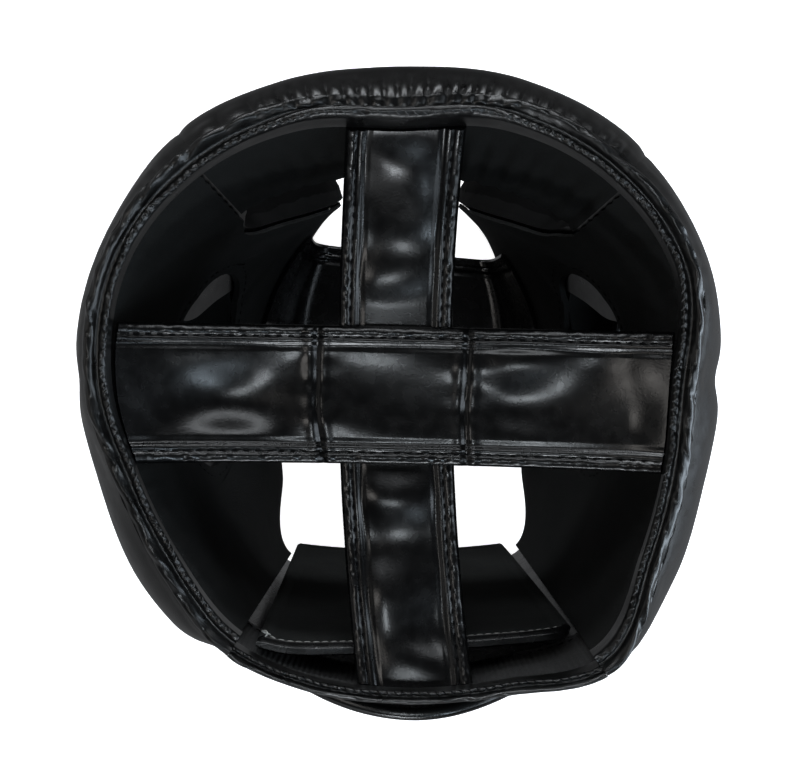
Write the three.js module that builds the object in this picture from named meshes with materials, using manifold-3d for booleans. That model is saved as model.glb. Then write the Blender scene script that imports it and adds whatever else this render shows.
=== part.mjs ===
// Padded head guard for sparring, in millimetres: +Z up, the face looks along -Y, the wearer's left is +X.
// A forehead pad and two side pads make an open-topped shell with a cloth lining. Two wide straps cross over
// the crown. A band, an inner tab and an outer flap close the back, and a two-part strap runs under the chin.

import * as THREE from "three";
import { mergeVertices } from "three/addons/utils/BufferGeometryUtils.js";
import Module from "manifold-3d";

const wasm = await Module();
wasm.setup();

// Clearance between neighbouring pieces, and the thickness of each kind of wall
const GAP = 0.4;
const LINING = 1.5;
const LINING_GAP = 0.9;
const STRAP = 2.4;
const STRAP_CLEARANCE = 1.1;
const BAND = 2.2;
const TAB = 4;
const FLAP = 3.4;
const PAD_EDGE = 2.4;

// The shell's plan. "around" is the angle from the face, in degrees, positive to the wearer's left. The
// three radii are to the lining's inner face at the crown rim, at the brow level and at the hem level. "foam"
// is the padding's full thickness, and "shoulder" how far below the rim the pad reaches it.
const BROW_LEVEL = 130;
const HEM_LEVEL = 5;
const OUTLINE = table(
  ["around", "rimRadius", "rimHeight", "browRadius", "hemRadius", "foam", "shoulder"],
  [
    [-180, 100.5, 187, 97, 80, 15, 40],
    [-160, 104, 187, 99, 83, 15, 50],
    [-143, 113, 188, 103, 90, 15, 60],
    [-125, 100, 191, 96, 64, 19, 62],
    [-108, 93.5, 194, 90, 55.5, 19, 64],
    [-90, 91.5, 197, 88, 52.5, 20, 56],
    [-68, 99, 200, 90, 57, 20, 70],
    [-46, 97.5, 203, 86.5, 68, 21, 44],
    [-22, 93, 204.5, 79.5, 86, 22, 34],
    [0, 86.7, 205, 77, 102, 22, 25],
    [22, 92.5, 204.5, 79.5, 87, 22, 36],
    [43, 97, 203, 86.5, 70, 21, 44],
    [65, 100, 200, 90, 58.5, 20, 88],
    [90, 97.4, 197, 88.5, 52.5, 20, 86],
    [108, 93.5, 194, 88.5, 55, 19, 68],
    [128, 95, 191, 91.5, 65, 19, 44],
    [146, 101, 188, 96, 92, 16, 40],
    [162, 101, 187, 97, 82, 15, 40],
  ],
);

// Where the forehead pad meets the side pads, and where the side pads end at the back
const SEAM_LEFT = 41.4;
const SEAM_RIGHT = -47;
const BACK_LEFT = 146;
const BACK_RIGHT = -143;
const SEAM_GAP = 0.3;
const LINING_LAP = 1.5;
const LINING_INSET = 1.2;
const LAP_LEFT = BACK_LEFT + LINING_LAP;
const LAP_RIGHT = BACK_RIGHT - LINING_LAP;

// The forehead's lower edge, and the edge of the face opening from the chin up to it. Between the two heights
// of FACE_TO_SEAM the opening's edge runs over into the forehead's seam.
const BROW_MIDDLE = 138;
const BROW_DROP = 6;
const FACE_TO_SEAM = [106, 126];
const FACE_TOP = 136;
const FACE_EDGE = table(
  ["height", "around"],
  [
    [0, 24],
    [10, 19],
    [28, 17],
    [48, 18.5],
    [66, 23],
    [82, 32],
    [98, 42],
    [116, 45],
    [134, 44],
  ],
);

// The side pads' lower edge: flat under the cheeks, raised behind the jaw
const HEM_EDGE = table(
  ["around", "height"],
  [
    [0, 0],
    [60, 0],
    [78, 3],
    [100, 12],
    [125, 14],
    [150, 9],
  ],
);
const ROUND_BROW = 15;
const ROUND_FACE = 13;
const ROUND_HEM = 16;
const ROUND_BACK = 16;
const SEAM_GROOVE = { depth: 0.13, width: 6, from: 122, to: 138 };
const HEM_FOOT = 7;

// The ear opening, the wider cup around it on the inner face, and the tuck in the outer sheet above it
const EAR = { ahead: 6, height: 88, halfLength: 27, halfHeight: 22, lip: 18, lipDepth: 0.14 };
const EAR_THROUGH = 150;
const EAR_CUP = { halfLength: 39, halfHeight: 31, floor: 90 };
const TUCK = { around: 89, width: 4, depth: 0.16, from: 110, to: 148 };

// Gathers along the forehead's rim, and ribs in the forehead's lining that are deeper on the wearer's right.
// Both are counted over an arc of the given radius.
const GATHER = { radius: 95, pitch: 8.1, depth: 1, reach: 9 };
const RIB = { radius: 85, pitch: 7.6, depth: 2.2, shallow: 0.35, turnOver: 20, foot: 0.3, fadeFrom: 0.45 };

// The binding folded over the crown rim, seen in section, and the narrower one on the back band
const BINDING = { top: 3.6, overlap: 2.6, cover: 4.6, leg: 7 };
const BAND_BINDING = { top: 3, overlap: 1.6, cover: BAND + GAP, leg: 6 };

// Straps: the turned hem on each long edge in section, then the crown straps
const HEM = { width: 8, fold: 1, step: 1.2, rise: 0.5, edge: -0.45, groove: -0.1 };
const STRAP_SEAM = { spread: 0.012, pinch: 0.6 };
const LONG_STRAP = { width: 39, drop: [10, 9.6], middle: 170.5, drift: [-2, 1.5, -5], lengthen: 4 };
const CROSS_STRAP = { width: 47, drop: [12.5, 12.5], middle: 174.5, drift: [2.5, 3.5, 6] };
const CROSS_SEAMS = [23.5, -24.5];
const SAG_POWER = 3.4;

// Back closure
const BAND_DEPTH = 36;
const BACK_OUT = LINING + LINING_GAP;
const TAB_TOP = { height: 168, back: 87, left: 46, right: -58 };
const TAB_FOOT = { height: 16, back: 74, left: 47, right: -47 };
const TAB_TILT = 5;
const TAB_CORNER = 12;
const TAB_BOW = 3;
const FLAP_FROM = BACK_LEFT + SEAM_GAP;
const FLAP_TO = 360 + BACK_RIGHT - SEAM_GAP;
const FLAP_TOP = 181;
const FLAP_ARCH = 30;
const FLAP_BOW = { around: 183, half: 24, depth: 3.6 };
const FLAP_STANDOFF = BACK_OUT + BAND + GAP;

// Chin strap: how far it runs from front to back, how high it is sewn to the cheeks, and its overlap
const CHIN = { front: -62, back: -15, top: 36, overlap: 26, halfRun: 50, skew: 4 };

const LEATHER = { color: 0x121315, roughness: 0.36, metalness: 0 };
const LINING_CLOTH = { color: 0x1b1d1e, roughness: 0.95, metalness: 0 };

// Rows of numbers as objects whose keys are the named columns
function table(columns, rows) {
  return rows.map((row) => Object.fromEntries(columns.map((name, i) => [name, row[i]])));
}

// Smooth curve through a table's rows; a closed table repeats every 360 degrees
function along(rows, key, column, at, closed = false) {
  const count = rows.length;
  const row = (i) => {
    const turns = closed ? Math.floor(i / count) : 0;
    const held = closed ? i - turns * count : Math.min(Math.max(i, 0), count - 1);
    return [rows[held][key] + 360 * turns, rows[held][column]];
  };
  const first = rows[0][key];
  const last = row(count - 1)[0];
  const x = closed ? at - 360 * Math.floor((at - first) / 360) : Math.min(Math.max(at, first), last);
  let i = 0;
  while (i < count - (closed ? 1 : 2) && row(i + 1)[0] <= x) {
    i++;
  }
  const [before, from, to, after] = [row(i - 1), row(i), row(i + 1), row(i + 2)];
  const span = to[0] - from[0];
  const slope = (p, q) => (q[0] === p[0] ? 0 : (q[1] - p[1]) / (q[0] - p[0]));
  const [leave, arrive] = [slope(before, to) * span, slope(from, after) * span];
  const t = (x - from[0]) / span;
  const blend = t * t * (3 - 2 * t);
  const bend = t * (1 - t) * ((1 - t) * leave - t * arrive);
  return from[1] + (to[1] - from[1]) * blend + bend;
}

const outline = (around, column) => along(OUTLINE, "around", column, around, true);
const rimHeight = (around) => outline(around, "rimHeight");
const hemHeight = (around) => Math.max(along(HEM_EDGE, "around", "height", Math.abs(around)), 0);
const browHeight = (around) => BROW_MIDDLE - BROW_DROP * (around / SEAM_LEFT) ** 2;
const radians = THREE.MathUtils.degToRad;
const mix = THREE.MathUtils.lerp;
const smoothstep = THREE.MathUtils.smoothstep;

// Radius of the lining's inner face: a parabola through the rim, brow and hem radii
function wallRadius(around, height) {
  const [rim, brow, hem] = ["rimRadius", "browRadius", "hemRadius"].map((name) => outline(around, name));
  const top = rimHeight(around);
  const upper = (rim - brow) / (top - BROW_LEVEL);
  const lower = (brow - hem) / (BROW_LEVEL - HEM_LEVEL);
  const bend = (upper - lower) / (top - HEM_LEVEL);
  return brow + upper * (height - BROW_LEVEL) + bend * (height - BROW_LEVEL) * (height - top);
}

// A point of the shell, `out` beyond the lining's inner face
function shellPoint(around, height, out) {
  const radius = wallRadius(around, height) + out;
  return new THREE.Vector3(radius * Math.sin(radians(around)), -radius * Math.cos(radians(around)), height);
}

// Swell from an edge as a parabola: 0 at the edge, 1 at the width and beyond
function swellOver(distance, width) {
  const short = 1 - Math.min(Math.max(distance / width, 0), 1);
  return 1 - short * short;
}

// The same as a fuller quarter round
function round(distance, width) {
  const short = 1 - Math.min(Math.max(distance / width, 0), 1);
  return Math.sqrt(1 - short * short);
}

const even = (count) => Array.from({ length: count + 1 }, (_, i) => i / count);
const towardsEdges = (count) => even(count).map((t) => 0.5 - 0.5 * Math.cos(Math.PI * t));

// A closed body from triangles, turned so that its faces point out
function closedBody(points, triangles) {
  const volume = triangles.reduce((sum, [a, b, c]) => {
    return sum + points[a].dot(new THREE.Vector3().crossVectors(points[b], points[c]));
  }, 0);
  const index = triangles.flatMap(([a, b, c]) => (volume < 0 ? [a, c, b] : [a, b, c]));
  return new THREE.BufferGeometry().setFromPoints(points).setIndex(index);
}

// A closed body between two grids of points that share their rows and columns
function between(inner, outer) {
  const rows = inner.length;
  const columns = inner[0].length;
  const points = [...inner.flat(), ...outer.flat()];
  const at = (side, i, j) => side * rows * columns + i * columns + j;
  const triangles = [];
  const quad = (a, b, c, d) => triangles.push([a, b, c], [a, c, d]);
  for (let i = 0; i + 1 < rows; i++) {
    for (let j = 0; j + 1 < columns; j++) {
      quad(at(0, i, j), at(0, i + 1, j), at(0, i + 1, j + 1), at(0, i, j + 1));
      quad(at(1, i, j), at(1, i, j + 1), at(1, i + 1, j + 1), at(1, i + 1, j));
    }
    quad(at(0, i + 1, 0), at(0, i, 0), at(1, i, 0), at(1, i + 1, 0));
    quad(at(0, i, columns - 1), at(0, i + 1, columns - 1), at(1, i + 1, columns - 1), at(1, i, columns - 1));
  }
  for (let j = 0; j + 1 < columns; j++) {
    quad(at(0, 0, j), at(0, 0, j + 1), at(1, 0, j + 1), at(1, 0, j));
    quad(at(0, rows - 1, j + 1), at(0, rows - 1, j), at(1, rows - 1, j), at(1, rows - 1, j + 1));
  }
  return closedBody(points, triangles);
}

// A sheet of cloth or leather: a grid of middle points with a thickness above and below it at each point
function sheet(middle, above, below = above) {
  const step = (list, i) => [list[Math.max(i - 1, 0)], list[Math.min(i + 1, list.length - 1)]];
  const normal = (i, j) => {
    const [left, right] = step(middle[i], j);
    const [low, high] = step(middle, i).map((row) => row[j]);
    return right.clone().sub(left).cross(high.clone().sub(low)).normalize();
  };
  const offset = (thickness, sign) =>
    middle.map((row, i) =>
      row.map((point, j) => point.clone().addScaledVector(normal(i, j), sign * thickness(i, j))),
    );
  return between(offset(below, -1), offset(above, 1));
}

// A body lofted through closed sections of equal count, capped at both ends
function lofted(sections, flat) {
  const count = flat.length;
  const points = sections.flat();
  const triangles = [];
  for (let i = 0; i + 1 < sections.length; i++) {
    for (let k = 0; k < count; k++) {
      const [a, b] = [i * count + k, i * count + ((k + 1) % count)];
      triangles.push([a, b, b + count], [a, b + count, a + count]);
    }
  }
  const last = (sections.length - 1) * count;
  for (const [a, b, c] of THREE.ShapeUtils.triangulateShape(flat, [])) {
    triangles.push([c, b, a], [a + last, b + last, c + last]);
  }
  return closedBody(points, triangles);
}

function solidOf(geometry) {
  const bare = new THREE.BufferGeometry().setAttribute("position", geometry.getAttribute("position"));
  if (geometry.index) bare.setIndex(geometry.index);
  const merged = mergeVertices(bare, 1e-3);
  const triVerts = new Uint32Array(merged.index.array);
  const vertProperties = merged.attributes.position.array;
  return new wasm.Manifold(new wasm.Mesh({ numProp: 3, vertProperties, triVerts }));
}

function geometryOf(solid) {
  const { vertProperties, triVerts } = solid.getMesh();
  const position = new THREE.BufferAttribute(new Float32Array(vertProperties), 3);
  return new THREE.BufferGeometry().setAttribute("position", position).setIndex([...triVerts]);
}

// Forehead pad

function foreheadPad() {
  const grid = (out, lift) =>
    towardsEdges(7).map((v) =>
      even(54).map((u) => {
        const around = mix(SEAM_RIGHT, SEAM_LEFT, u);
        const [low, top] = [browHeight(around), rimHeight(around)];
        const height = mix(low, top, v);
        const point = shellPoint(around, height, LINING + LINING_GAP + out(around, height, low, top));
        return point.setZ(point.z + lift(around, height, top));
      }),
    );
  const outer = (around, height, low, top) => {
    const toSeam = radians(Math.min(around - SEAM_RIGHT, SEAM_LEFT - around)) * wallRadius(around, height);
    const seam = 1 - SEAM_GROOVE.depth * (1 - round(toSeam, SEAM_GROOVE.width));
    const shoulder = swellOver(top - height, outline(around, "shoulder"));
    const brow = round(height - low, ROUND_BROW);
    return mix(PAD_EDGE, outline(around, "foam"), shoulder * brow * seam);
  };
  const gathers = (around, height, top) => {
    const nearRim = height < top ? Math.exp(-(((top - height) / GATHER.reach) ** 2)) : 0;
    const turns = (radians(around) * GATHER.radius) / GATHER.pitch;
    return GATHER.depth * nearRim * (Math.cos(2 * Math.PI * turns) - 1);
  };
  return between(grid(() => 0, () => 0), grid(outer, gathers));
}

function foreheadLining() {
  const inset = 1;
  const legTop = 0.84;
  const rows = [0, 0.15, 0.4, 0.65, legTop, 1];
  const grid = (out) =>
    rows.map((v) =>
      even(48).map((u) => {
        const around = mix(SEAM_RIGHT - LINING_LAP, SEAM_LEFT + LINING_LAP, u);
        const height = mix(browHeight(around) + inset, rimHeight(around) - inset, v);
        return shellPoint(around, height, out(around, v));
      }),
    );
  const ribs = (around, v) => {
    const turns = (radians(around) * RIB.radius) / RIB.pitch;
    const wave = 0.5 - 0.5 * Math.cos(2 * Math.PI * turns);
    const strength = mix(RIB.shallow, 1, smoothstep(-around, -RIB.turnOver, RIB.turnOver));
    const fade = 1 - smoothstep(v, RIB.fadeFrom, legTop);
    return -RIB.depth * wave * strength * fade * mix(0.5, 1, smoothstep(v, 0, RIB.foot));
  };
  return between(grid(ribs), grid(() => LINING));
}

// Side pads

// The face edge of a side pad: the forehead seam above the brow, the face opening below it
function faceEdge(height, seam) {
  const opening = along(FACE_EDGE, "height", "around", height);
  const share = smoothstep(height, ...FACE_TO_SEAM);
  return Math.sign(seam) * mix(opening, Math.abs(seam), share);
}

// A side pad's grid of angles and heights, from its face edge to its back edge and from hem to rim
function sideGrid(seam, back, columns, rows, inset, place) {
  const turn = (degrees) => Math.sign(seam) * degrees;
  return rows.map((v) =>
    columns.map((u) => {
      const level = v * rimHeight(seam);
      const onSeam = smoothstep(level, ...FACE_TO_SEAM);
      const around = mix(faceEdge(level, seam) + turn(inset * (1 - onSeam)), back - turn(inset / 4), u);
      const height = mix(hemHeight(around) + inset, rimHeight(around) - inset, v);
      return place(around, height);
    }),
  );
}

// Distance in millimetres, over the unrolled wall, from a place to the face edge below the brow
function distanceToFace(around, height, seam) {
  const radius = wallRadius(around, height);
  const gaps = even(40).map((t) => {
    const level = t * FACE_TOP;
    return Math.hypot(radians(around - faceEdge(level, seam)) * radius, height - level);
  });
  return Math.min(...gaps);
}

function sideThickness(around, height, seam, back) {
  const radius = wallRadius(around, height);
  const toSeam = radians(Math.abs(around - seam)) * radius;
  const toBack = radians(Math.abs(back - around)) * radius;
  const onSeam = smoothstep(height, SEAM_GROOVE.from, SEAM_GROOVE.to);
  const seamRound = 1 - SEAM_GROOVE.depth * (1 - round(toSeam, SEAM_GROOVE.width));
  const front = mix(round(distanceToFace(around, height, seam), ROUND_FACE), seamRound, onSeam);
  const rim = swellOver(rimHeight(around) - height, outline(around, "shoulder"));
  const hem = round(height - hemHeight(around) + HEM_FOOT, ROUND_HEM);
  const earLength = (wallRadius(around, height) * Math.cos(radians(around)) - EAR.ahead) / EAR.halfLength;
  const earHeight = (height - EAR.height) / EAR.halfHeight;
  const toEar = (Math.hypot(earLength, earHeight) - 1) * EAR.halfHeight;
  const lip = 1 - EAR.lipDepth * (1 - smoothstep(toEar, 0, EAR.lip));
  const tuckShare = smoothstep(height, TUCK.from, TUCK.to);
  const tuck = 1 - TUCK.depth * tuckShare * Math.exp(-(((Math.abs(around) - TUCK.around) / TUCK.width) ** 2));
  const swell = front * rim * hem * round(toBack, ROUND_BACK) * lip * tuck;
  return mix(PAD_EDGE, outline(around, "foam"), swell);
}

// An oval rod along X through one ear, from the middle of the guard out to a distance
function earRod(side, { halfLength, halfHeight }, out) {
  const inside = 30;
  const oval = new THREE.Shape().absellipse(0, 0, halfLength, halfHeight, 0, 2 * Math.PI);
  const depth = out - inside;
  const rod = new THREE.ExtrudeGeometry(oval, { depth, bevelEnabled: false, curveSegments: 12 });
  rod.rotateX(Math.PI / 2).rotateZ(Math.PI / 2);
  rod.translate(side > 0 ? inside : -out, -EAR.ahead, EAR.height);
  return solidOf(rod);
}

function sidePad(seam, back) {
  const edge = seam + Math.sign(seam) * SEAM_GAP;
  const columns = towardsEdges(22);
  const rows = towardsEdges(14);
  const padPoint = (out) => (a, h) => shellPoint(a, h, LINING + LINING_GAP + out(a, h));
  const grid = (out) => sideGrid(edge, back, columns, rows, 0, padPoint(out));
  const body = between(grid(() => 0), grid((a, h) => sideThickness(a, h, edge, back)));
  const cup = earRod(seam, EAR_CUP, EAR_CUP.floor);
  const opening = earRod(seam, EAR, EAR_THROUGH);
  return geometryOf(solidOf(body).subtract(cup).subtract(opening));
}

function sideLining(seam, back) {
  const turn = Math.sign(seam);
  const edge = seam + turn * (LINING_LAP + SEAM_GAP);
  const end = back + turn * LINING_LAP;
  const rows = [0, 0.15, 0.3, 0.42, 0.52, 0.625, 0.8, 1];
  const grid = (out) => sideGrid(edge, end, even(18), rows, LINING_INSET, (a, h) => shellPoint(a, h, out));
  return geometryOf(solidOf(between(grid(0), grid(LINING))).subtract(earRod(seam, EAR_CUP, EAR_THROUGH)));
}

// A folded binding on the crown rim: a top bead with a leg that covers the lining's edge
function rimBinding(from, to, steps, { top, overlap, cover, leg } = BINDING, shift = 0) {
  const section = [
    [-overlap, -leg],
    [-GAP, -leg],
    [-GAP, GAP],
    [cover, GAP],
    [0.5 * cover, top],
    [-overlap, 0.6 * top],
  ].map(([out, up]) => new THREE.Vector2(out, up));
  const rings = even(steps).map((t) => {
    const around = mix(from, to, t);
    return section.map(({ x, y }) => shellPoint(around, rimHeight(around) + y, x + shift));
  });
  return lofted(rings, section);
}

// Straps

// How far from the middle a line meets the lining, along a direction and held aside from it, at a height
function reach(direction, aside, height) {
  const sideways = new THREE.Vector2(-direction.y, direction.x);
  const halvings = 40;
  let near = 0;
  let far = 150;
  for (let i = 0; i < halvings; i++) {
    const middle = (near + far) / 2;
    const at = direction.clone().multiplyScalar(middle).addScaledVector(sideways, aside);
    const around = THREE.MathUtils.radToDeg(Math.atan2(at.x, -at.y));
    if (at.length() < wallRadius(around, height)) {
      near = middle;
    } else {
      far = middle;
    }
  }
  return near;
}

// A strap's cross positions and its thickness there: turned hems with a stitched step beside each
function strapSection(width) {
  const half = width / 2;
  const hem = half - HEM.width;
  const stations = [half, half - HEM.fold, hem + HEM.step, hem, 0];
  const rises = [HEM.edge, HEM.rise, HEM.rise, HEM.groove, 0];
  const places = [...stations.map((x) => -x), ...stations.slice(0, -1).reverse()];
  return { places, rises: [...rises, ...rises.slice(0, -1).reverse()] };
}

// A crown strap hung across the opening: it leaves the wall steeply at both ends and levels out in the middle
function crownStrap(direction, strap, ends, seams = []) {
  const { places, rises } = strapSection(strap.width);
  const sideways = new THREE.Vector2(-direction.y, direction.x);
  const backward = direction.clone().negate();
  const standOff = STRAP / 2 + STRAP_CLEARANCE;
  const lengthen = strap.lengthen ?? 0;
  const beside = seams.flatMap((s) => [s - STRAP_SEAM.spread, s, s + STRAP_SEAM.spread]);
  const marks = [...towardsEdges(16), ...beside].sort((a, b) => a - b);
  const driftAt = (t) => {
    const [start, middle, end] = strap.drift;
    return start * (1 - t) * (1 - 2 * t) + 4 * middle * t * (1 - t) + end * t * (2 * t - 1);
  };
  const middle = marks.map((t) =>
    places.map((place) => {
      const start = reach(direction, driftAt(0) + place, ends[0]) - standOff;
      const end = reach(backward, -driftAt(1) - place, ends[1]) - standOff + lengthen;
      const hung = mix(strap.middle, t < 0.5 ? ends[0] : ends[1], Math.abs(2 * t - 1) ** SAG_POWER);
      const flat = direction.clone().multiplyScalar(mix(start, -end, t));
      flat.addScaledVector(sideways, driftAt(t) + place);
      return new THREE.Vector3(flat.x, flat.y, hung);
    }),
  );
  const pinched = (i) => (seams.includes(marks[i]) ? STRAP_SEAM.pinch : 0);
  return sheet(
    middle,
    (i, j) => STRAP / 2 + rises[j] - pinched(i),
    (i, j) => STRAP / 2 + Math.min(rises[j], 0),
  );
}

function longStrap() {
  const ends = [rimHeight(0) - LONG_STRAP.drop[0], rimHeight(180) - LONG_STRAP.drop[1]];
  return crownStrap(new THREE.Vector2(0, -1), LONG_STRAP, ends);
}

function crossStrap() {
  const ends = [rimHeight(90) - CROSS_STRAP.drop[0], rimHeight(-90) - CROSS_STRAP.drop[1]];
  const [left, right] = [wallRadius(90, ends[0]), wallRadius(-90, ends[1])];
  const seams = CROSS_SEAMS.map((x) => (left - x) / (left + right));
  return crownStrap(new THREE.Vector2(1, 0), CROSS_STRAP, ends, seams);
}

// Back closure

function backBand() {
  const grid = (out) =>
    even(4).map((v) =>
      even(16).map((u) => {
        const around = mix(BACK_LEFT + SEAM_GAP, 360 + BACK_RIGHT - SEAM_GAP, u);
        const height = rimHeight(around) - BAND_DEPTH * (1 - v);
        return shellPoint(around, height, out);
      }),
    );
  return between(grid(BACK_OUT), grid(BACK_OUT + BAND));
}

function bandBinding() {
  return rimBinding(LAP_LEFT + SEAM_GAP, 360 + LAP_RIGHT - SEAM_GAP, 12, BAND_BINDING, BACK_OUT);
}

// The inner tab: a leaning panel with rounded upper corners, higher on the wearer's left
function closureTab() {
  const middle = even(6).map((v) =>
    towardsEdges(12).map((u) => {
      const at = (key) => mix(TAB_FOOT[key], TAB_TOP[key], v);
      const across = mix(at("left"), at("right"), u);
      const toSide = Math.min(at("left") - across, across - at("right"));
      const corner = TAB_CORNER * (1 - round(toSide, TAB_CORNER));
      const bow = TAB_BOW * (1 - (2 * u - 1) ** 2);
      const tilt = TAB_TILT * mix(1, -1, u);
      return new THREE.Vector3(across, at("back") + bow, at("height") + (tilt - corner) * v);
    }),
  );
  return sheet(middle, () => TAB / 2);
}

// The outer flap: hangs behind the band from an arched upper edge, which bows out, down to the floor
function backFlap() {
  const grid = (out) =>
    even(6).map((v) =>
      even(14).map((u) => {
        const around = mix(FLAP_FROM, FLAP_TO, u);
        const height = v * (FLAP_TOP - FLAP_ARCH * (2 * u - 1) ** 2);
        const aside = Math.min(Math.abs(around - FLAP_BOW.around) / FLAP_BOW.half, 1);
        const bow = FLAP_BOW.depth * v * v * (1 - aside * aside) ** 2;
        return shellPoint(around, height, FLAP_STANDOFF + bow + out);
      }),
    );
  return between(grid(0), grid(FLAP));
}

// Chin strap

// One half: down the inside of a cheek, then flat across under the chin
function chinStrap(side, lift) {
  const route = table(
    ["height", "share"],
    [
      [CHIN.top, 1],
      [24, 1],
      [14, 0.99],
      [7, 0.95],
      [3 + lift * 0.5, 0.86],
      [1.6 + lift, 0.72],
      [1.6 + lift, 0.36],
      [1.6 + lift, 0],
      [1.6 + lift, -CHIN.overlap / CHIN.halfRun],
    ],
  );
  const { places, rises } = strapSection(CHIN.back - CHIN.front);
  const midway = (CHIN.front + CHIN.back) / 2;
  const middle = route.map(({ height, share }) =>
    places.map((place) => {
      const sewn = Math.max(height, HEM_LEVEL);
      const lengthwise = midway + place - side * share * CHIN.skew;
      const wall = reach(new THREE.Vector2(side, 0), side * lengthwise, sewn) - STRAP / 2 - STRAP_CLEARANCE;
      return new THREE.Vector3(side * wall * share, lengthwise, height);
    }),
  );
  return sheet(middle, (i, j) => STRAP / 2 + Math.min(rises[j], 0));
}

// Assembly

const leather = () => new THREE.MeshStandardMaterial(LEATHER);
const cloth = () => new THREE.MeshStandardMaterial(LINING_CLOTH);

function piece(name, geometry, material) {
  const mesh = new THREE.Mesh(geometry, material);
  mesh.name = name;
  return mesh;
}

const shell = new THREE.Group().add(
  piece("forehead_pad", foreheadPad(), leather()),
  piece("side_pad_left", sidePad(SEAM_LEFT, BACK_LEFT), leather()),
  piece("side_pad_right", sidePad(SEAM_RIGHT, BACK_RIGHT), leather()),
  piece("forehead_lining", foreheadLining(), cloth()),
  piece("side_lining_left", sideLining(SEAM_LEFT, BACK_LEFT), cloth()),
  piece("side_lining_right", sideLining(SEAM_RIGHT, BACK_RIGHT), cloth()),
);
const rim = new THREE.Group().add(
  piece("forehead_rim_binding", rimBinding(SEAM_RIGHT, SEAM_LEFT - SEAM_GAP, 18), leather()),
  piece("side_rim_binding_left", rimBinding(SEAM_LEFT, LAP_LEFT, 22), leather()),
  piece("side_rim_binding_right", rimBinding(SEAM_RIGHT - SEAM_GAP, LAP_RIGHT, 20), leather()),
  piece("back_rim_binding", bandBinding(), leather()),
);
const crown = new THREE.Group().add(
  piece("crown_strap_long", longStrap(), leather()),
  piece("crown_strap_cross", crossStrap(), leather()),
);
const closure = new THREE.Group().add(
  piece("back_band", backBand(), leather()),
  piece("closure_tab", closureTab(), cloth()),
  piece("back_flap", backFlap(), leather()),
);
const chin = new THREE.Group().add(
  piece("chin_strap_left", chinStrap(1, 0), leather()),
  piece("chin_strap_right", chinStrap(-1, STRAP + GAP), leather()),
);

// The guard stands on the floor with the middle of its plan over the origin
const guard = new THREE.Group().add(shell, rim, crown, closure, chin);
const bounds = new THREE.Box3().setFromObject(guard);
const centre = bounds.getCenter(new THREE.Vector3());
guard.position.set(-centre.x, -centre.y, -bounds.min.z);

export default guard;
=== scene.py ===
"""Looks of a padded head guard for sparring, seen straight down into its open crown.

The CAD solids give the places and sizes. Every piece here is made again as fine soft goods in the same
frame: swollen leather pads, a gathered rim binding, hemmed straps with stitches, and a brushed lining.
Lengths are in millimetres until a mesh is made. "around" is the angle from the face, in degrees, positive
to the wearer's left, which is +X.
"""

import math

import bpy
import numpy as np
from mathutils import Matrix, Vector


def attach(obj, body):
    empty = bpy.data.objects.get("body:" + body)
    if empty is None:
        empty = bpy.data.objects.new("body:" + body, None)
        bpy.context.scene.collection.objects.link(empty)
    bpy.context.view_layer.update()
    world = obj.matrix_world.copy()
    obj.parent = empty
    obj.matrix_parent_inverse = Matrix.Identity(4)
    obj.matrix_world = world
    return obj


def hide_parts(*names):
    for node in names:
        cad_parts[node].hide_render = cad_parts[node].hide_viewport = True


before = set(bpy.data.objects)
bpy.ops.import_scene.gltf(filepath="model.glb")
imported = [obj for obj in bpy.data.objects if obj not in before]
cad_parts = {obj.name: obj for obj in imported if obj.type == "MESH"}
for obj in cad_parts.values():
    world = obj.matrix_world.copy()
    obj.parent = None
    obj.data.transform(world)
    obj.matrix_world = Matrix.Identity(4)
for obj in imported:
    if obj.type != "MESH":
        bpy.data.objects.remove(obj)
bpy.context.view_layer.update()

# Where the shell's own axis stands in the frame
AXIS = np.array([0.85, -3.25, 0.0])
MM = 0.001

# Thickness of each kind of wall, and the clearances between them
GAP = 0.4
LINING = 1.5
PAD_INNER = 2.4
PAD_EDGE = 2.4
STRAP = 2.4
STRAP_CLEARANCE = 1.1
BAND = 2.2
TAB = 4.0
FLAP = 3.4
FLAP_STANDOFF = 5.0

# The shell's plan: radii to the lining's inner face at three levels, the rim's height, and the padding
BROW_LEVEL = 130.0
HEM_LEVEL = 5.0
PLAN_COLUMNS = ("around", "rim_radius", "rim_height", "brow_radius", "hem_radius", "foam", "shoulder")
PLAN_ROWS = (
    (-180, 100.5, 187, 97, 80, 15, 40),
    (-160, 104, 187, 99, 83, 15, 50),
    (-143, 113, 188, 103, 90, 15, 60),
    (-125, 100, 191, 96, 64, 19, 62),
    (-108, 93.5, 194, 90, 55.5, 19, 64),
    (-90, 91.5, 197, 88, 52.5, 20, 56),
    (-68, 99, 200, 90, 57, 20, 70),
    (-46, 97.5, 203, 86.5, 68, 21, 44),
    (-22, 93, 204.5, 79.5, 86, 22, 34),
    (0, 86.7, 205, 77, 102, 22, 25),
    (22, 92.5, 204.5, 79.5, 87, 22, 36),
    (43, 97, 203, 86.5, 70, 21, 44),
    (65, 100, 200, 90, 58.5, 20, 88),
    (90, 97.4, 197, 88.5, 52.5, 20, 86),
    (108, 93.5, 194, 88.5, 55, 19, 68),
    (128, 95, 191, 91.5, 65, 19, 44),
    (146, 101, 188, 96, 92, 16, 40),
    (162, 101, 187, 97, 82, 15, 40),
)

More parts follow.
